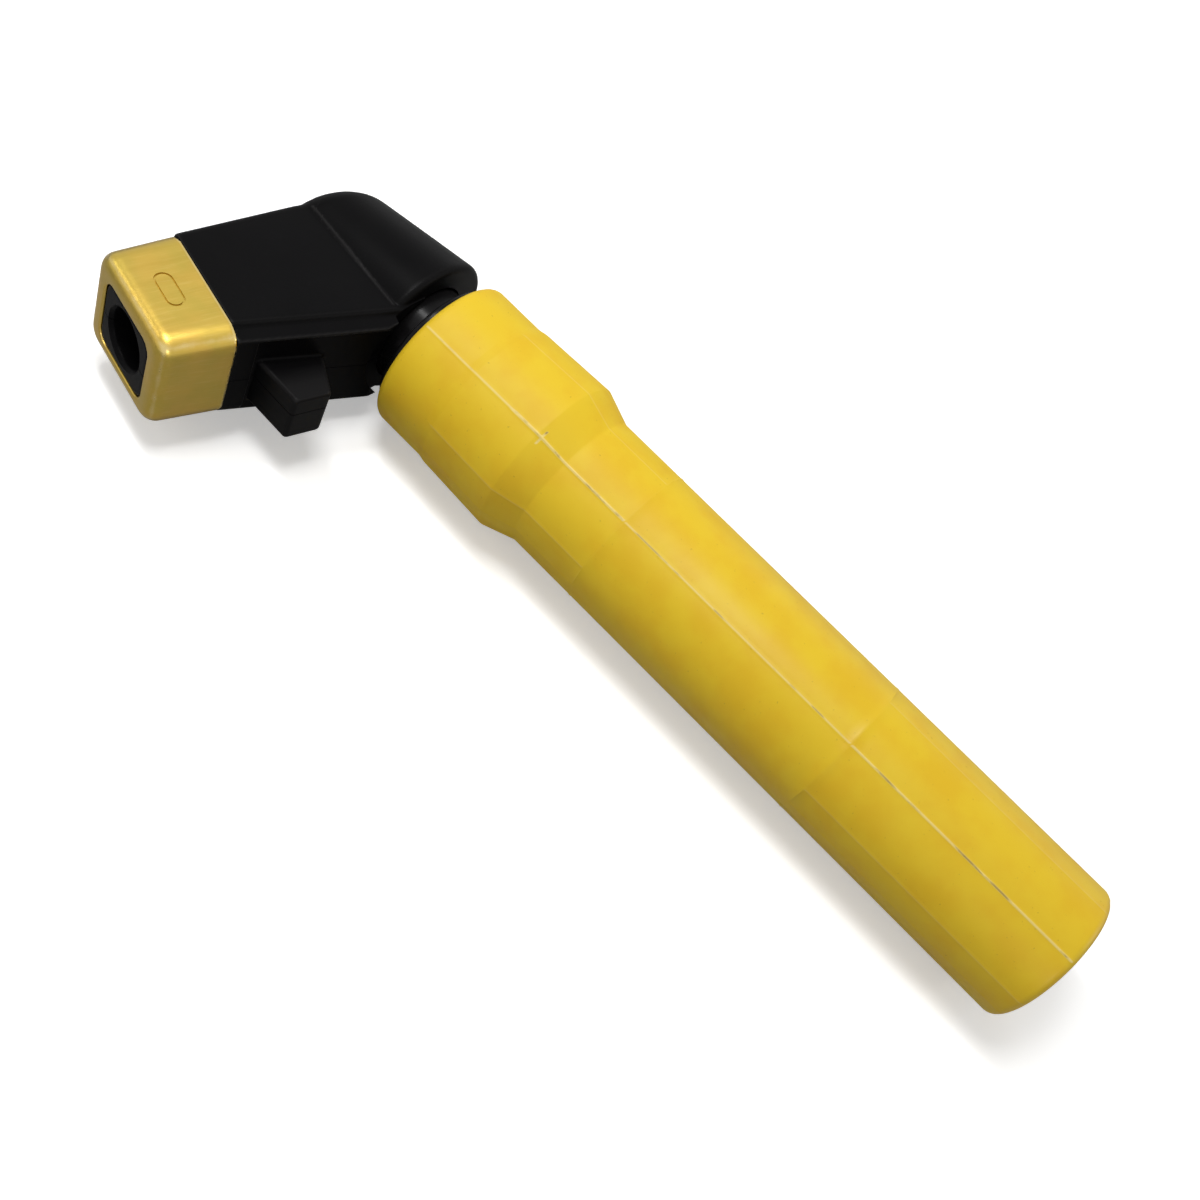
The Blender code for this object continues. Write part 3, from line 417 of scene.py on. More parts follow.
class Finish:
    """One material, whose node tree is written from top to bottom."""

    def __init__(self, name):
        self.material = bpy.data.materials.new(name)
        self.material.use_nodes = True
        self.tree = self.material.node_tree
        self.shader = self.tree.nodes["Principled BSDF"]

    def node(self, kind, settings, sockets, output=0):
        """Adds a node: its settings first, then the values or links of its sockets. Returns one output."""
        node = self.tree.nodes.new(kind)
        for key, value in settings.items():
            setattr(node, key, value)
        for key, value in sockets.items():
            feed(self.tree, node.inputs[key], value)
        return Value(self.tree, node.outputs[output])

    def place(self, scale=(1, 1, 1), turn=0.0):
        """Object coordinates, stretched and turned about Z."""
        where = self.node("ShaderNodeTexCoord", {}, {}, "Object")
        turned = self.node("ShaderNodeMapping", {}, {"Vector": where, "Rotation": (0, 0, turn)})
        return self.node("ShaderNodeMapping", {}, {"Vector": turned, "Scale": scale})

    def noise(self, where, scale, detail=2.0, roughness=0.5):
        """A cloudy pattern, whose scale is its patches to the metre."""
        sockets = {"Vector": where, "Scale": scale, "Detail": detail, "Roughness": roughness}
        return self.node("ShaderNodeTexNoise", {}, sockets)

    def kept(self, name):
        """What the piece's mesh keeps for each of its points under this name."""
        return self.node("ShaderNodeAttribute", {"attribute_name": name}, {}, 2)

    def ramp(self, value, low, high):
        """0 below the low bound and 1 above the high one, with a soft rise between."""
        sockets = {"Value": value, "From Min": low, "From Max": high}
        return self.node("ShaderNodeMapRange", {"interpolation_type": "SMOOTHSTEP"}, sockets)

    def blend(self, factor, first, second):
        """Mixes two colours, each given as three numbers or a link."""
        pair = [c if isinstance(c, Value) else (*c, 1) for c in (first, second)]
        sockets = {0: factor, 6: pair[0], 7: pair[1]}
        return self.node("ShaderNodeMix", {"data_type": "RGBA"}, sockets, 2)

    def bump(self, height, strength, distance):
        """Relief of this height in metres, for the shader's normal."""
        sockets = {"Height": height, "Strength": strength, "Distance": distance}
        return self.node("ShaderNodeBump", {}, sockets)

    def wire(self, **sockets):
        """Sets the shader's sockets, named with underscores for spaces."""
        for key, value in sockets.items():
            feed(self.tree, self.shader.inputs[key.replace("_", " ").title()], value)
        return self.material


def yellow_rubber(settings):
    """Satin rubber with deeper patches and dark specks; the mould lines are painted pale as a highlight on their
    ridges, with dirt and painted shade beside them in places.
    """
    faded, speck, line_highlight = (0.80, 0.59, 0.03), (0.30, 0.17, 0.02), (0.86, 0.71, 0.30)
    hand_begin, hand_end = AXIS.x + 0.060, AXIS.x + 0.105
    made = Finish("moulded_yellow_rubber")
    where = made.place()
    patches = made.ramp(made.noise(where, 105, 3), 0.36, 0.68)
    cloud = made.noise(where, 150, 4, 0.6)
    tone = made.blend(patches * 0.5 + cloud * 0.25, settings.yellow, settings.deep_yellow)
    tone = made.blend(made.ramp(made.noise(where, 60, 3), 0.55, 0.8) * 0.35, tone, faded)
    specks = made.ramp(made.noise(where, 1300, 2), 0.70, 0.78)
    tone = made.blend(specks * 0.35, tone, speck)
    grain = made.noise(where, 2600, 2)
    swell = made.noise(where, 150, 3)
    seam = made.kept("seam")
    patchy = made.ramp(made.noise(made.place((170, 500, 500)), 1, 3), 0.50, 0.66)
    # Painted highlight: the mould lines are painted pale, as if their ridges catch the light.
    tone = made.blend(made.ramp(seam, 0.10, 0.65) * 0.65, tone, line_highlight)
    # Dirt and painted shade in patches along and beside the mould lines, in the grime colour.
    tone = made.blend(made.ramp(seam, 0.20, 0.70) * patchy * 0.8, tone, settings.grime_and_shade)
    along = made.node("ShaderNodeSeparateXYZ", {}, {"Vector": where}, 0)
    handled = made.ramp(along, hand_begin, hand_end)
    rough = 0.50 - handled * 0.17 + cloud * 0.14 + specks * 0.1
    normal = made.bump(grain * 0.35 + swell, 0.35, 0.00012)
    made.shader.inputs["Specular IOR Level"].default_value = 0.36
    return made.wire(base_color=tone, roughness=rough, normal=normal)


def black_moulding(settings):
    """Satin black with a faint cloud and a little dust; sharp edges, the crease line and the lug are painted lighter
    as a highlight, with some wear, and the edges are smoother.
    """
    dusty, rubbed_and_highlit = (0.05, 0.049, 0.05), (0.030, 0.029, 0.029)
    dull = tuple(1.9 * shade for shade in settings.black)
    made = Finish("satin_black_moulding")
    where = made.place()
    cloud = made.noise(where, 75, 4, 0.6)
    fibre = made.noise(made.place((500, 1800, 900)), 1, 3)
    dust = made.ramp(made.noise(where, 700, 4, 0.7), 0.60, 0.78)
    tone = made.blend(cloud * 0.6, settings.black, dull)
    tone = made.blend(dust * 0.03, tone, dusty)
    # Painted highlight, with some wear: edges, the crease line and the lug side are painted greyer.
    edge = made.kept("edge")
    tone = made.blend(edge * 0.6, tone, rubbed_and_highlit)
    rough = 0.30 + cloud * 0.12 + dust * 0.15 - edge * 0.08
    grain = made.noise(where, 1900, 2)
    normal = made.bump(grain * 0.5 + fibre * 0.3 + cloud * 0.6, 0.22, 0.0001)
    made.shader.inputs["Specular IOR Level"].default_value = 0.036
    return made.wire(base_color=tone, roughness=rough, normal=normal)


def gold_plating(settings, turn):
    """Gold-coloured plating, drawn along the nose, with warm and green patches and scratches; rounded edges are
    paler, as worn plating and a painted highlight, and the rear rim has a painted bright line.
    """
    warm, drawn = (0.64, 0.36, 0.09), (0.68, 0.50, 0.15)
    made = Finish("gold_passivated_sheet")
    where = made.place()
    streaks = made.noise(made.place((26, 900, 900), turn), 1, 4, 0.6)
    patches = made.noise(where, 130, 3, 0.55)
    wear_and_sheen = made.kept("wear_and_sheen")
    rubbed_and_highlit = made.ramp(wear_and_sheen + made.noise(where, 300, 4, 0.6) * 0.9 - 0.45, 0.40, 1.1)
    tone = made.blend(made.ramp(patches, 0.30, 0.74) * 0.7, settings.gold, settings.olive)
    tone = made.blend(made.ramp(made.noise(where, 95, 2), 0.55, 0.75) * 0.25, tone, warm)
    scratches = made.ramp(made.noise(made.place((60, 2600, 2600), turn), 1, 3, 0.6), 0.50, 0.72)
    tone = made.blend(streaks * 0.25 + scratches * 0.2, tone, drawn)
    # Paler edges: worn plating and a painted highlight, with a painted bright line round the rear rim.
    tone = made.blend(rubbed_and_highlit * 0.5, tone, settings.bare)
    rough = 0.25 + streaks * 0.16 - rubbed_and_highlit * 0.08
    dents = made.noise(where, 260, 2)
    normal = made.bump(streaks * 0.3 + scratches * 0.12 + dents * 0.7, 0.3, 0.00012)
    made.shader.inputs["Metallic"].default_value = 1
    return made.wire(base_color=tone, roughness=rough, normal=normal)


def gloss_fibre():
    """Smooth black fibre tube with the faint rings of its winding."""
    made = Finish("wound_black_fibre")
    where = made.place()
    windings = made.noise(made.place((3200, 60, 60)), 1, 2)
    cloud = made.noise(where, 140, 3)
    tone = made.blend(cloud * 0.5, (0.003, 0.003, 0.0032), (0.008, 0.007, 0.007))
    normal = made.bump(windings, 0.10, 0.00006)
    made.shader.inputs["Specular IOR Level"].default_value = 0.10
    return made.wire(base_color=tone, roughness=0.20 + cloud * 0.12, normal=normal)


def dull_rubber():
    """Dull black rubber with a fine grain."""
    made = Finish("dull_black_rubber")
    where = made.place()
    cloud = made.noise(where, 220, 3)
    grain = made.noise(where, 2400, 2)
    tone = made.blend(cloud, (0.010, 0.010, 0.010), (0.022, 0.021, 0.020))
    return made.wire(base_color=tone, roughness=0.62 + cloud * 0.2, normal=made.bump(grain, 0.3, 0.00008))


def machined(name, bright, dull, stretch, rough):
    """Bare metal with tool marks, which run across the direction that the stretch is greatest in."""
    made = Finish(name)
    where = made.place()
    marks = made.noise(made.place(stretch), 1, 3, 0.6)
    tarnish = made.ramp(made.noise(where, 160, 4, 0.6), 0.40, 0.72)
    tone = made.blend(tarnish * 0.7, bright, dull)
    made.shader.inputs["Metallic"].default_value = 1
    normal = made.bump(marks, 0.25, 0.00006)
    return made.wire(base_color=tone, roughness=rough + tarnish * 0.18 + marks * 0.08, normal=normal)


def head_place(head):
    """The head's own frame: X along the electrode to the nose, Y towards the handle's side."""
    centre = AXIS - Vector((head.centre_ahead, 0, 0))
    return Matrix.Translation(centre) @ Matrix.Rotation(-head.nose_angle, 4, "Z")


class HOLDER_OT_grip(bpy.types.Operator):
    """Models the yellow rubber sleeve with its mould lines"""

    bl_idname = "holder.grip"
    bl_label = "Grip sleeve"

    def execute(self, context):
        grip = context.scene.holder.grip
        length = SLEEVE_HIGH.x - SLEEVE_LOW.x
        # Half the width of a mould ring, and the place of the flash round the guard's rear edge.
        line, flash = 0.00045, grip.bulge_end + 0.0011
        outline = soft_outline(self.section(grip, length, flash, line), 0.0024)
        sleeve = spin("grip_sleeve_moulded", outline, Matrix.Translation(AXIS), grip.steps, grip.parting_angle)
        step = math.tau / grip.steps
        skin, strip_depth, line_tone = 0.0012, 0.32, 1.6
        flash_tone, flash_spread = 0.8, math.radians(5.5)
        near_line, far_line, other_line, rim = 0.45, 0.3, 0.6, 0.001
        marks = []

        def column(turn, begin, end, spread=step / 2):
            """The test that finds the sleeve's outer vertices at this turn, between two places."""
            out = Vector((0, math.cos(turn), math.sin(turn)))

            def on_column(vert):
                arm = vert.co - AXIS
                outer = math.hypot(arm.y, arm.z) > grip.grip_radius - skin
                gap = math.atan2(arm.y * out.z - arm.z * out.y, arm.y * out.y + arm.z * out.z)
                return outer and begin < arm.x < end and abs(gap) < spread

            return out, on_column

        def raise_line(turn, begin, end, share):
            """Lifts a mould line off the rubber and keeps its place for the painted highlight on it and the dirt and
            painted shade beside it.
            """
            out, test = column(turn, begin, end)
            choose(sleeve, "VERT", test)
            bpy.ops.transform.translate(value=out * grip.line_height * share)
            marks.append((test, min(1.0, share * share * line_tone)))

        def flatten(first, last, begin, end, radius):
            """Presses the strip between two turns down towards a flat face."""
            middle, half = (first + last) / 2, (last - first) / 2
            count = round(2 * half / step)
            for number in range(1, count):
                turn = first + number * step
                sink = strip_depth * radius * (1 - math.cos(half) / math.cos(turn - middle))
                out, test = column(turn, begin, end)
                choose(sleeve, "VERT", test)
                bpy.ops.transform.translate(value=-out * sink)

        main = grip.parting_angle
        front, rear = grip.front_witness, grip.rear_witness
        with editing(sleeve):
            for mirror in (0, math.pi):
                for side in (-1, 1):
                    near = main + mirror + side * grip.block_angle
                    far = main + mirror + side * grip.flat_angle
                    for begin, end in ((grip.lip_end + rim / 2, front), (rear, length - rim / 2)):
                        flatten(min(near, far), max(near, far), begin, end, grip.grip_radius)
                        raise_line(near, begin, end, near_line)
                        raise_line(far, begin, end, far_line)
            for begin, end, share in (
                (rim, 0.030, 0.6),
                (0.030, 0.0365, 0.8),
                (0.0365, 0.0405, 1.3),
                (0.0405, front, 0.9),
                (front, rear, 0.6),
                (rear, length - rim, 0.7),
            ):
                raise_line(main, begin, end, share)
            raise_line(main + math.pi, rim, length - rim, other_line)
        # The flash round the guard's rear edge is only painted: pale like the lines' highlight, with dirt and painted
        # shade.
        across = column(main, flash - line / 2, flash + line / 2, flash_spread)[1]
        marks.append((across, flash_tone))
        self.keep_marks(sleeve, marks, (front, rear))
        hand_over(sleeve, "handle", "yellow_rubber", yellow_rubber(grip), "grip_sleeve")
        return {"FINISHED"}

    def section(self, grip, length, flash, line):
        """Corners of the sleeve's section: the outside from front to tail, then back through the bore."""
        bore, inlet, tail, ring_share = 0.0155, 0.0105, 0.0040, 0.6
        corners = [
            (0.0010, bore, 0),
            (0, bore + 0.0006, 0.0003),
            (0, grip.lip_radius, 0.0021),
            (grip.lip_end, grip.lip_radius, 0.0030),
            (grip.bulge_start, grip.shoulder_radius, 0.0030),
            (grip.bulge_end, grip.bulge_radius, 0.0018),
        ]
        fall = (grip.bulge_radius - grip.grip_radius) / (grip.grip_start - grip.bulge_end)
        for along in (flash - line, flash, flash + line):
            corners.append((along, grip.bulge_radius - (along - grip.bulge_end) * fall, 0))
        corners.append((grip.grip_start, grip.grip_radius, 0.0020))
        for ring in (grip.front_witness, grip.rear_witness):
            corners += [
                (ring - line, grip.grip_radius, 0),
                (ring, grip.grip_radius + grip.line_height * ring_share, 0),
                (ring + line, grip.grip_radius, 0),
            ]
        corners += [
            (length, grip.grip_radius, 0.0023),
            (length, inlet, 0.0008),
            (length - tail, inlet, 0.0003),
            (length - tail, bore, 0),
            (0.0010, bore, 0),
        ]
        return corners

    def keep_marks(self, sleeve, marks, rings):
        """Keeps where the mould lines are, for the finish's painted highlight and its dirt and painted shade."""
        ring_half, ring_tone = 0.0002, 0.17
        seams = sleeve.data.attributes.new("seam", "FLOAT", "POINT")
        for vert, seam in zip(sleeve.data.vertices, seams.data):
            strengths = [share for test, share in marks if test(vert)]
            if any(abs(vert.co.x - AXIS.x - ring) < ring_half for ring in rings):
                strengths.append(ring_tone)
            seam.value = max(strengths, default=0.0)


class HOLDER_OT_neck(bpy.types.Operator):
    """Models the turned black pieces inside the grip: the liner with its flange, the collar and the bush"""

    bl_idname = "holder.neck"
    bl_label = "Liner, collar and bush"

    def execute(self, context):
        place = Matrix.Translation(AXIS)
        fibre = gloss_fibre()

        def reach(node):
            """Front end, rear end and outer radius of a turned solid."""
            low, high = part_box(node)
            return low.x - AXIS.x, high.x - AXIS.x, (high.z - low.z) / 2

        begin, end, radius = reach("liner_tube")
        tube, bore = 0.0152, 0.0136
        liner = [
            (begin + 0.0020, bore, 0),
            (begin, bore, 0.0006),
            (begin, radius, 0.0008),
            (-SEAT_GAP, radius, 0.0003),
            (-SEAT_GAP, tube, 0.0002),
            (end, tube, 0.0003),
            (end, bore, 0.0003),
            (begin + 0.0020, bore, 0),
        ]
        begin, end, radius = reach("cable_bush")
        inlet = 0.0105
        bush = [
            (begin + 0.0030, inlet, 0),
            (begin, inlet, 0.0012),
            (begin, radius, 0.0004),
            (end, radius, 0.0003),
            (end, inlet, 0.0003),
            (begin + 0.0030, inlet, 0),
        ]
        begin, end, radius = reach("neck_collar")
        cup, hole = 0.010815, 0.0073
        collar = [
            (begin + 0.0010, cup, 0),
            (begin, cup, 0.0003),
            (begin, radius, 0.0006),
            (end, radius, 0.0004),
            (end, hole, 0.0003),
            (end - 0.0050, hole, 0.0003),
            (end - 0.0050, cup, 0.0005),
            (begin + 0.0010, cup, 0),
        ]
        for name, node, slot, material, corners in (
            ("liner_tube_turned", "liner_tube", "black_fibre", fibre, liner),
            ("cable_bush_turned", "cable_bush", "black_fibre", fibre, bush),
            ("neck_collar_turned", "neck_collar", "black_moulding", fibre, collar),
        ):
            piece = spin(name, soft_outline(corners), place, 160)
            hand_over(piece, "handle", slot, material, node)
        return {"FINISHED"}


class HOLDER_OT_head(bpy.types.Operator):
    """Models the black moulding in one skin, then hollows it and parts it at its seam"""

    bl_idname = "holder.head"
    bl_label = "Moulded head"

    def execute(self, context):
        head, cap = context.scene.holder.head, context.scene.holder.cap
        place = head_place(head)
        inside = place.inverted() @ Matrix.Translation(AXIS)
        body_end = cap.rear - SEAT_GAP
        low, high = -head.half_thickness, head.half_thickness

        overlap, post_drop, band_round, valley_reach = 0.0006, 0.003, 0.0004, 0.0030
        valley = Vector((0.0130, -0.0190))

        def widths(x, step, flare):
            """The body's far and near side at this place along the nose."""
            rise = body_end - x
            far = head.nose_half_width + rise * math.tan(head.far_flare) - step
            near = head.nose_half_width + rise * math.tan(flare) - step
            return -far, near

        def trim(made):
            """Cuts a layer off at the body's end beside the boss."""
            with editing(made):
                bpy.ops.mesh.bisect(
                    plane_co=inside @ Vector((-head.body_foot_ahead, 0, 0)),
                    plane_no=inside.to_3x3() @ Vector((1, 0, 0)),
                    use_fill=True,
                    clear_outer=True,
                )
            return made

        def layer(name, lows, top, step, rounding, begin):
            """A layer of the body from this place to the cap, with its lower edges rounded."""
            flare = head.wall_flare if step else head.near_flare
            ends = [(x, *widths(x, step, flare), low, top) for x, low in zip((begin, body_end), lows)]
            return trim(block(name, ends, rounding, (-1,)))

        lows = (low, low + head.foot_rise)
        shape = layer("head_skin", lows, head.rim_height + overlap, head.rim_step, head.foot_round, 0)
        foot = (-head.post_foot, -head.post_foot)
        post = layer("post", foot, high - post_drop, 0, head.post_round, body_end - head.post_length)
        sides = [(x, *widths(x, 0, head.near_flare)) for x in (0, body_end)]
        plate = block("plate", [(x, far, near - head.plate_inset, head.rim_height, high) for x, far, near in sides])
        self.soften(plate, head.plate_round, lambda v: v.co.z > high - HAIR and v.co.y > 0)
        self.soften(plate, head.back_round, lambda v: v.co.z > high - HAIR and v.co.y < 0)
        inner = 2 * head.plate_inset
        band = block("band", [(x, near - inner, near, head.rim_height, head.band_top) for x, far, near in sides])
        with editing(band):
            middle = {x: near - head.plate_inset for x, far, near in sides}
            outer = [v.index for v in bmesh.from_edit_mesh(band.data).verts if v.co.y > middle_of(middle, v.co.x)]
            choose(band, "VERT", lambda v: v.index in outer and v.co.z > head.band_top - HAIR)
            bpy.ops.transform.translate(value=(0, 0, -2 * head.band_fall))
        self.soften(band, band_round, lambda v: v.index in outer and v.co.z > head.rim_height + 10 * HAIR)
        trim(plate)
        trim(band)
        boss = self.boss(head, inside)
        nose = self.nose(cap, body_end)
        face = self.face(cap)
        lug = self.lug(head)
        parts = [shape, plate, band, post, boss, nose, face, lug]
        bpy.ops.object.select_all(action="DESELECT")
        for part in parts:
            part.select_set(True)
        bpy.context.view_layer.objects.active = shape
        bpy.ops.object.join()
        apply_modifier(shape, "REMESH", mode="VOXEL", voxel_size=head.skin)
        smooth_zone(shape, 2)
        smooth_zone(shape, 20, lambda v: (v.co.xy - valley).length < valley_reach)
        self.mark_highlight_and_wear(shape, self.crease(shape, head))
        self.hollow(shape, head, cap, inside)
        self.part(shape, head, place, black_moulding(head))
        return {"FINISHED"}

    def soften(self, obj, rounding, at_edge):
        """Rounds the one long edge whose vertices pass the test."""
        with editing(obj):
            choose(obj, "EDGE", lambda e: along_x(e) and all(at_edge(v) for v in e.verts))
            bpy.ops.mesh.bevel(offset=rounding, segments=12, profile=0.5, affect="EDGES")

    def boss(self, head, inside):
        """The cone round the handle's axis, whose closed end leans into the line of the far wall."""
        outline = soft_outline(
            [
                (-head.boss_top_ahead, 0, 0),
                (-head.boss_top_ahead, head.boss_top_radius, head.boss_top_round),
                (-head.boss_foot_ahead, head.boss_foot_radius, head.boss_foot_round),
                (-head.boss_foot_ahead, 0, 0),
            ]
        )
        made = spin("boss", outline, inside, 192)
        back = inside.inverted()
        aside = inside.to_3x3() @ Vector((0, 1, 0))
        length = head.boss_top_ahead - head.boss_foot_ahead
        with editing(made):
            places = {v.index: (back @ v.co).x for v in bmesh.from_edit_mesh(made.data).verts}
            for ring in sorted({round(along, 6) for along, radius in outline}):
                share = (ring + head.boss_top_ahead) / length
                offset = share * head.boss_foot_offset - (1 - share) * head.boss_top_offset
                choose(made, "VERT", lambda v: abs(places[v.index] - ring) < WELD)
                bpy.ops.transform.translate(value=aside * offset)
                middle = inside @ Vector((ring, offset, 0))
                lean = head.boss_lean * (1 - share)
                bpy.ops.transform.rotate(value=lean, orient_axis="Z", center_override=middle)
        return made

    def crease(self, shape, head):
        """Raises the fine line where the broad face runs into the boss. Returns the distance from it, for the
        highlight painted along the line.
        """
        first, last = Vector((0.01278, -0.0164)), Vector((0.00875, 0.0152))
        top_depth, out_of_reach, lift = 0.0012, 1.0, 0.00007
        run = (last - first).normalized()
        length = (last - first).length

        def off_line(vert):
            arm = vert.co.xy - first
            beyond = max(0.0, -arm.dot(run), arm.dot(run) - length)
            high = vert.co.z > head.half_thickness - top_depth
            return math.hypot(abs(arm.cross(run)), beyond) if high else out_of_reach

        with editing(shape):
            for reach in (0.00040, 0.00018):
                choose(shape, "VERT", lambda v: off_line(v) < reach)
                bpy.ops.transform.translate(value=(0, 0, lift))
        return off_line

    def mark_highlight_and_wear(self, shape, off_line):
        """Keeps how sharply each vertex stands out, for a highlight painted on the edges, with some wear; also a
        highlight painted along the crease line, and paint that lightens the lug side.
        """
        line_half, even_bend, bend_range = 0.0004, 0.02, 0.12
        thumb_begin, thumb_range, thumb_tone = 0.0195, 0.012, 0.36
        marks = shape.data.attributes.new("edge", "FLOAT", "POINT")
        bm = bmesh.new()
        bm.from_mesh(shape.data)
        bm.normal_update()
        for vert, mark in zip(bm.verts, marks.data):
            arms = [(edge.other_vert(vert).co - vert.co).normalized() for edge in vert.link_edges]
            bend = -sum(arm.dot(vert.normal) for arm in arms) / len(arms)
            # Painted highlight along the crease line.
            line = 1.0 - off_line(vert) / line_half
            # Lighter towards the lug: some thumb wear, and painted light where the lamps leave the lug darker.
            lug_wear_and_light = min(thumb_tone, max(0.0, (vert.co.y - thumb_begin) / thumb_range))
            mark.value = min(1.0, max(lug_wear_and_light, (bend - even_bend) / bend_range, line))
        bm.free()

    def nose(self, cap, body_end):
        """The stub that the cap is pushed onto."""
        shoulder = cap.rear + cap.length - cap.wall - SEAT_GAP
        ends = [cap_end(cap, x, cap.wall + SEAT_GAP) for x in (body_end - 0.001, shoulder)]
        nose = block("nose", ends, cap.corner_round - cap.wall - SEAT_GAP)
        round_end(nose, shoulder, cap.front_round - cap.wall - SEAT_GAP)
        return nose

    def face(self, cap):
        """The flat end that fills the cap's window."""
        slack = 0.0002
        front = cap.rear + cap.length
        width, height = cap.window_half_width - slack, cap.window_half_thickness - slack
        low, high = -height - cap.window_drop, height - cap.window_drop
        ends = [(x, -width, width, low, high) for x in (front - 2 * PAST, front - SEAT_GAP)]
        return block("face", ends, cap.window_round - slack)

    def lug(self, head):
        """The thumb lug, with its length along Y."""
        turn = Matrix.Rotation(math.radians(90), 4, "Z")
        half = head.lug_half_thickness
        root = head.nose_half_width - PAST
        ends = [(root, -0.0086, 0.0086, -half, half), (head.lug_reach, -0.0054, 0.0038, -half, half)]
        lug = block("lug", ends, 0.0009)
        round_end(lug, head.lug_reach, 0.0007)
        put(lug, Matrix.Translation((head.lug_middle, 0, head.lug_height)) @ turn)
        return lug

    def hollow(self, shape, head, cap, inside):
        """Cuts the mouth, the hub, the seal's groove, the barrel, the nose bore and the dowel holes."""
        top = AXIS.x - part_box("jaw_plug")[0].x + SEAT_GAP
        hub, hub_end, mouth, mouth_begin, seal_depth = 0.0123, 0.0172, 0.0138, 0.0177, 0.0015
        barrel, barrel_end, bore, bore_begin, flare = 0.0088, 0.0523, 0.0068, 0.0515, 0.0012
        front = cap.rear + cap.length
        seal_low, seal_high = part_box("neck_seal")
        seal = (seal_low.x - AXIS.x - SEAT_GAP, seal_high.x - AXIS.x + SEAT_GAP)
        along_nose = Matrix()
        bore_corners = [
            (bore_begin, 0, 0),
            (bore_begin, bore, 0),
            (front - flare, bore, 0.0009),
            (front + flare, barrel, 0),
            (front + flare, 0, 0),
        ]
        tools = [
            rod("hub_space", -top, -hub_end, hub, inside),
            rod("mouth_space", -mouth_begin, -head.boss_foot_ahead + 0.004, mouth, inside),
            rod("seal_space", *seal, mouth + seal_depth, inside),
            rod("neck_space", -head.boss_foot_ahead + 0.0004, PAST, head.foot_clearance, inside),
            rod("barrel_space", 0, barrel_end, barrel, along_nose),
            spin("bore_space", soft_outline(bore_corners), along_nose, 96),
        ]
        for name in ("dowel_nose_near", "dowel_nose_far", "dowel_boss"):
            low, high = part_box(name)
            upright = Matrix.Translation((low + high) / 2) @ Matrix.Rotation(math.radians(90), 4, "Y")
            deep = (high.z - low.z) / 2 + SEAT_GAP
            wide = (high.x - low.x) / 2 + SEAT_GAP
            tools.append(rod(name + "_hole", -deep, deep, wide, head_place(head).inverted() @ upright, 32))
        carve(shape, "DIFFERENCE", *tools)

    def part(self, shape, head, place, material):
        """Parts the moulding at its seam."""
        reach = 0.2
        for name, node, low, high in (
            ("head_moulding_upper", "head_shell_upper", head.seam_height + head.seam_gap / 2, reach),
            ("head_moulding_lower", "head_shell_lower", -reach, head.seam_height - head.seam_gap / 2),
        ):
            half = shape.copy()
            half.data = shape.data.copy()
            bpy.context.scene.collection.objects.link(half)
            half.name = name
            half.data.name = name
            space = block("half_space", [(x, -reach, reach, low, high) for x in (-reach, reach)])
            carve(half, "INTERSECT", space)
            put(half, place)
            hand_over(half, "head", "black_moulding", material, node)
        bpy.data.objects.remove(shape)


def middle_of(middle, x):
    """The value kept for the end of a layer that this place is nearest to."""
    return middle[min(middle, key=lambda end: abs(end - x))]


def cap_end(cap, x, inset):
    """One end of the cap's form, set in from its outside."""
    width = cap.half_width - (x - cap.rear) * math.tan(cap.side_draft) - inset
    top = cap.half_thickness - (x - cap.rear) * math.tan(cap.face_draft) - inset
    return x, -width, width, inset - cap_foot(cap, x), top


def cap_foot(cap, x):
    """Depth of the cap's lower broad side at this place along the nose."""
    return cap.foot_rear + (cap.foot_front - cap.foot_rear) * (x - cap.rear) / cap.length


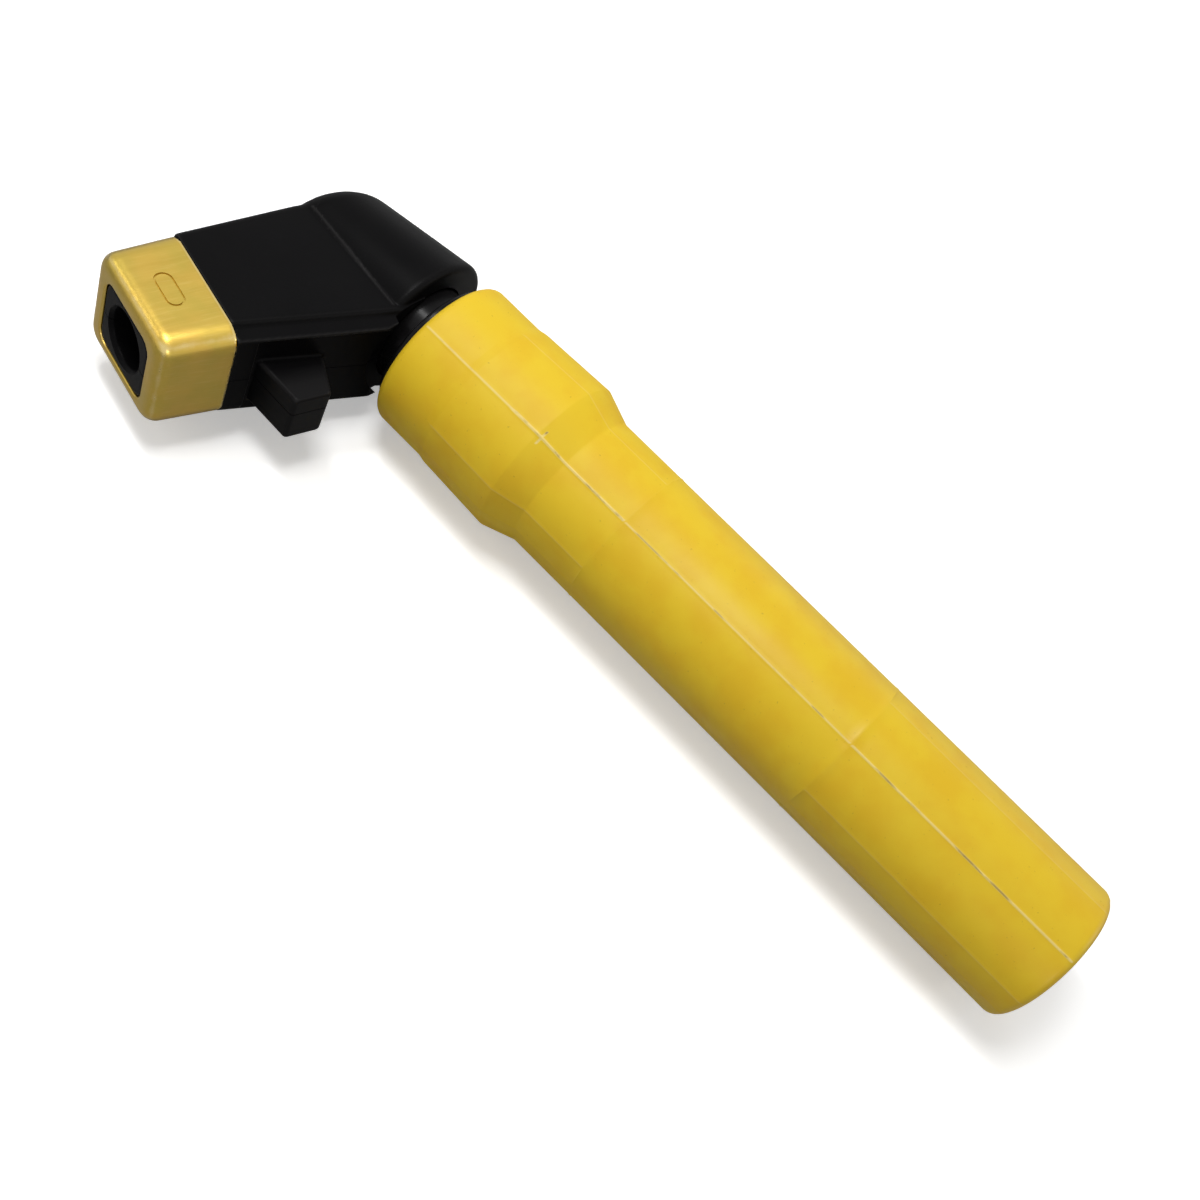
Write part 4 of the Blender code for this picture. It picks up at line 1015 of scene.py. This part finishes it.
class HOLDER_OT_cap(bpy.types.Operator):
    """Models the pressed metal cap with its window and locking dimples"""

    bl_idname = "holder.cap"
    bl_label = "Nose cap"

    def execute(self, context):
        head, cap = context.scene.holder.head, context.scene.holder.cap
        front = cap.rear + cap.length
        ends = [cap_end(cap, x, 0) for x in (cap.rear, front)]
        shell = block("nose_cap_pressed", ends, cap.corner_round, segments=12)
        round_end(shell, front, cap.front_round)
        back = front - cap.wall
        ends = [cap_end(cap, x, cap.wall) for x in (cap.rear - PAST, back)]
        hollow = block("hollow", ends, cap.corner_round - cap.wall, segments=12)
        round_end(hollow, back, cap.front_round - cap.wall)
        width, height = cap.window_half_width, cap.window_half_thickness
        low, high = -height - cap.window_drop, height - cap.window_drop
        ends = [(x, -width, width, low, high) for x in (front - 2 * PAST, front + PAST)]
        window = block("window", ends, cap.window_round, segments=12)
        carve(shell, "DIFFERENCE", hollow, window)
        apply_modifier(shell, "REMESH", mode="VOXEL", voxel_size=cap.skin)
        smooth_zone(shell, 4)
        self.mark_wear_and_sheen(shell, cap.rear + 0.0006)
        depth, height = 0.00036, 0.001
        for side in (1, -1):
            groove = self.dimple(cap, side, 0.0096, 0.0043, -depth, height)
            carve(groove, "DIFFERENCE", self.dimple(cap, side, 0.0087, 0.0034, -height, 2 * height))
            carve(shell, "DIFFERENCE", groove)
        put(shell, head_place(head))
        hand_over(shell, "head", "gold_passivated", gold_plating(cap, head.nose_angle), "nose_cap")
        return {"FINISHED"}

    def dimple(self, cap, side, length, width, low, high):
        """A plate with round ends that lies on one broad face of the cap."""
        x = cap.rear + cap.dimple_place
        upper = cap.half_thickness - cap.dimple_place * math.tan(cap.face_draft)
        surface = upper if side > 0 else cap_foot(cap, x)
        slope = cap.face_draft if side > 0 else math.atan((cap.foot_rear - cap.foot_front) / cap.length)
        made = start(bpy.ops.mesh.primitive_cube_add, "dimple", size=2)
        with editing(made):
            bpy.ops.transform.resize(value=(width / 2, length / 2, (high - low) / 2))
            bpy.ops.transform.translate(value=(0, 0, (low + high) / 2))
            choose(made, "EDGE", lambda e: e.verts[0].co.xy == e.verts[1].co.xy)
            bpy.ops.mesh.bevel(offset=width * 0.495, segments=10, profile=0.5, affect="EDGES")
        lean = Matrix.Rotation(slope, 4, "Y")
        over = Matrix.Rotation(0 if side > 0 else math.pi, 4, "X")
        put(made, Matrix.Translation((x, 0, 0)) @ over @ Matrix.Translation((0, 0, surface)) @ lean)
        return made

    def mark_wear_and_sheen(self, shell, rear):
        """Keeps how far each vertex lies on a rounded edge, where hands and the bench rub the plating and where a
        highlight is painted; the rear rim is marked almost fully, as a painted bright line.
        """
        rim_sheen_and_wear, still_flat, round_range = 0.9, 0.97, 0.34
        marks = shell.data.attributes.new("wear_and_sheen", "FLOAT", "POINT")
        for vert, mark in zip(shell.data.vertices, marks.data):
            flat = max(abs(part) for part in vert.normal)
            # The rear rim gets a painted bright line; rounded edges get a painted highlight with worn plating.
            mark.value = rim_sheen_and_wear if vert.co.x < rear else min(1.0, max(0.0, (still_flat - flat) / round_range))


class HOLDER_OT_inner_finishes(bpy.types.Operator):
    """Gives every solid that keeps its own shape its finish"""

    bl_idname = "holder.inner_finishes"
    bl_label = "Finishes of the inner pieces"

    def execute(self, context):
        fine, coarse = 4200, 90
        turned, milled, upright = (fine, coarse, coarse), (coarse, fine, coarse), (coarse, coarse, fine)
        brass = machined("turned_brass", (0.72, 0.50, 0.19), (0.46, 0.29, 0.10), turned, 0.24)
        copper = machined("milled_copper", (0.80, 0.38, 0.22), (0.50, 0.21, 0.12), milled, 0.28)
        zinc = machined("bright_zinc", (0.60, 0.60, 0.61), (0.42, 0.42, 0.44), turned, 0.26)
        pin = machined("ground_steel", (0.58, 0.58, 0.60), (0.38, 0.37, 0.37), upright, 0.20)
        finishes = {
            "contact_block": brass,
            "fixed_jaw": copper,
            "jaw_plug": brass,
            "neck_seal": dull_rubber(),
            "dowel_nose_near": pin,
            "dowel_nose_far": pin,
            "dowel_boss": pin,
            "pressure_pad": copper,
            "pad_pin_upper": zinc,
            "pad_pin_lower": zinc,
            "clamp_spindle": brass,
            "lock_nut": zinc,
            "lock_washer": zinc,
            "cable_socket": brass,
            "cable_screw_front": pin,
            "cable_screw_rear": pin,
            "drive_pin": pin,
        }
        for node, finish in finishes.items():
            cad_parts[node].material_slots[0].material = finish
        return {"FINISHED"}


class HOLDER_OT_stage(bpy.types.Operator):
    """Sets the floor, the soft lights and the camera"""

    bl_idname = "holder.stage"
    bl_label = "Stage"

    def execute(self, context):
        stage = context.scene.holder.stage
        scene = context.scene
        scene.view_settings.view_transform = "Standard"
        floor = start(bpy.ops.mesh.primitive_circle_add, "floor", radius=4, vertices=96, fill_type="NGON")
        made = Finish("white_floor")
        where = made.place()
        seen = self.seen(made.tree, 0.1)
        far_tone = made.blend(made.noise(where, 3, 2), stage.bounce, tuple(0.96 * c for c in stage.bounce))
        tone = made.blend(seen, far_tone, stage.floor)
        made.wire(base_color=tone, roughness=0.9)
        made.shader.inputs["Specular IOR Level"].default_value = 0
        away = made.node("ShaderNodeVectorMath", {"operation": "LENGTH"}, {0: where}, 1)
        near_end, far_begin, near_glow, far_glow = 0.35, 1.1, (0.38, 0.38, 0.38), (1, 1, 1)
        shine = made.blend(made.ramp(away, near_end, far_begin), near_glow, far_glow)
        glow = made.node("ShaderNodeEmission", {}, {"Color": shine, "Strength": seen})
        lit = Value(made.tree, made.shader.outputs[0])
        mixed = made.node("ShaderNodeAddShader", {}, {0: lit, 1: glow})
        made.tree.links.new(mixed.socket, made.tree.nodes["Material Output"].inputs["Surface"])
        floor.data.materials.append(made.material)
        self.light(scene)
        self.camera(scene, stage)
        return {"FINISHED"}

    def seen(self, tree, mirrored):
        """1 on rays that show the background to the camera, straight or by glass, and this share of it by a gloss."""
        path = tree.nodes.new("ShaderNodeLightPath")
        names = ("Is Camera Ray", "Is Glossy Ray", "Is Transmission Ray")
        straight, gloss, clear = (Value(tree, path.outputs[name]) for name in names)
        return straight + gloss * mirrored + clear

    def light(self, scene):
        """The pale room and the lamps: name, place, power, width and whether it shows in glossy surfaces."""
        fill, aim = 0.25, Vector((0, 0, 0.02))
        world = bpy.data.worlds.new("soft_room")
        scene.world = world
        world.use_nodes = True
        tree = world.node_tree
        room = tree.nodes["Background"]
        room.inputs["Color"].default_value = (1, 1, 1, 1)
        feed(tree, room.inputs["Strength"], self.seen(tree, 1) * (1 - fill) + fill)
        for name, place, power, width, mirrored in (
            ("overhead", (-0.10, -0.09, 0.50), 1.2, 0.15, True),
            ("streak", (-0.24, -0.045, 0.50), 0.5, 0.05, True),
            ("side", (-0.12, 0.74, 0.50), 1.4, 0.30, False),
            ("right", (0.78, 0.36, 0.34), 0.7, 0.20, True),
            ("corner", (0.60, -0.62, 0.34), 0.6, 0.16, True),
            ("left", (-0.48, -0.66, 0.58), 0.35, 0.24, False),
            ("edge", (-0.54, -0.25, 0.40), 0.13, 0.10, True),
        ):
            lamp = bpy.data.lights.new(name, "AREA")
            lamp.energy = power
            lamp.size = width
            obj = bpy.data.objects.new(name, lamp)
            obj.location = Vector(place)
            obj.rotation_euler = (aim - obj.location).to_track_quat("-Z", "Y").to_euler()
            obj.visible_glossy = mirrored
            scene.collection.objects.link(obj)

    def camera(self, scene, stage):
        """The camera stands where the photograph was taken from, measured from the sleeve's front rim."""
        frame_width = 36
        place = AXIS + Vector((0.11025932, -0.2104809, 0.22633976))
        right = Vector((0.70191737, 0.59767, 0.38743073))
        down = Vector((0.70091995, -0.48294603, -0.52485651))
        ahead = Vector((-0.12658286, 0.63996383, -0.75790704))
        camera = bpy.data.cameras.new("camera")
        camera.lens = stage.lens
        camera.sensor_width = frame_width
        camera.clip_start = 0.01
        obj = bpy.data.objects.new("camera", camera)
        matrix = Matrix((right, -down, -ahead)).transposed().to_4x4()
        matrix.translation = place
        obj.matrix_world = matrix
        scene.collection.objects.link(obj)
        scene.camera = obj


STEPS = (HOLDER_OT_grip, HOLDER_OT_neck, HOLDER_OT_head, HOLDER_OT_cap, HOLDER_OT_inner_finishes, HOLDER_OT_stage)
GROUPS = (GripSettings, HeadSettings, CapSettings, StageSettings, HolderSettings)


class HOLDER_PT_panel(bpy.types.Panel):
    """Lists the steps and the settings of the holder"""

    bl_idname = "HOLDER_PT_panel"
    bl_label = "Electrode holder"
    bl_space_type = "VIEW_3D"
    bl_region_type = "UI"
    bl_category = "Holder"

    def draw(self, context):
        for step in STEPS:
            self.layout.operator(step.bl_idname)
        holder = context.scene.holder
        for group in (holder.grip, holder.head, holder.cap, holder.stage):
            box = self.layout.box()
            for name in group.bl_rna.properties.keys():
                if name not in ("rna_type", "name"):
                    box.prop(group, name)


def register():
    for kind in (*GROUPS, *STEPS, HOLDER_PT_panel):
        bpy.utils.register_class(kind)
    bpy.types.Scene.holder = PointerProperty(type=HolderSettings)


def unregister():
    del bpy.types.Scene.holder
    for kind in reversed((*GROUPS, *STEPS, HOLDER_PT_panel)):
        bpy.utils.unregister_class(kind)


def main():
    register()
    bpy.ops.holder.grip()
    bpy.ops.holder.neck()
    bpy.ops.holder.head()
    bpy.ops.holder.cap()
    bpy.ops.holder.inner_finishes()
    bpy.ops.holder.stage()
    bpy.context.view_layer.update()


if __name__ == "__main__":
    main()
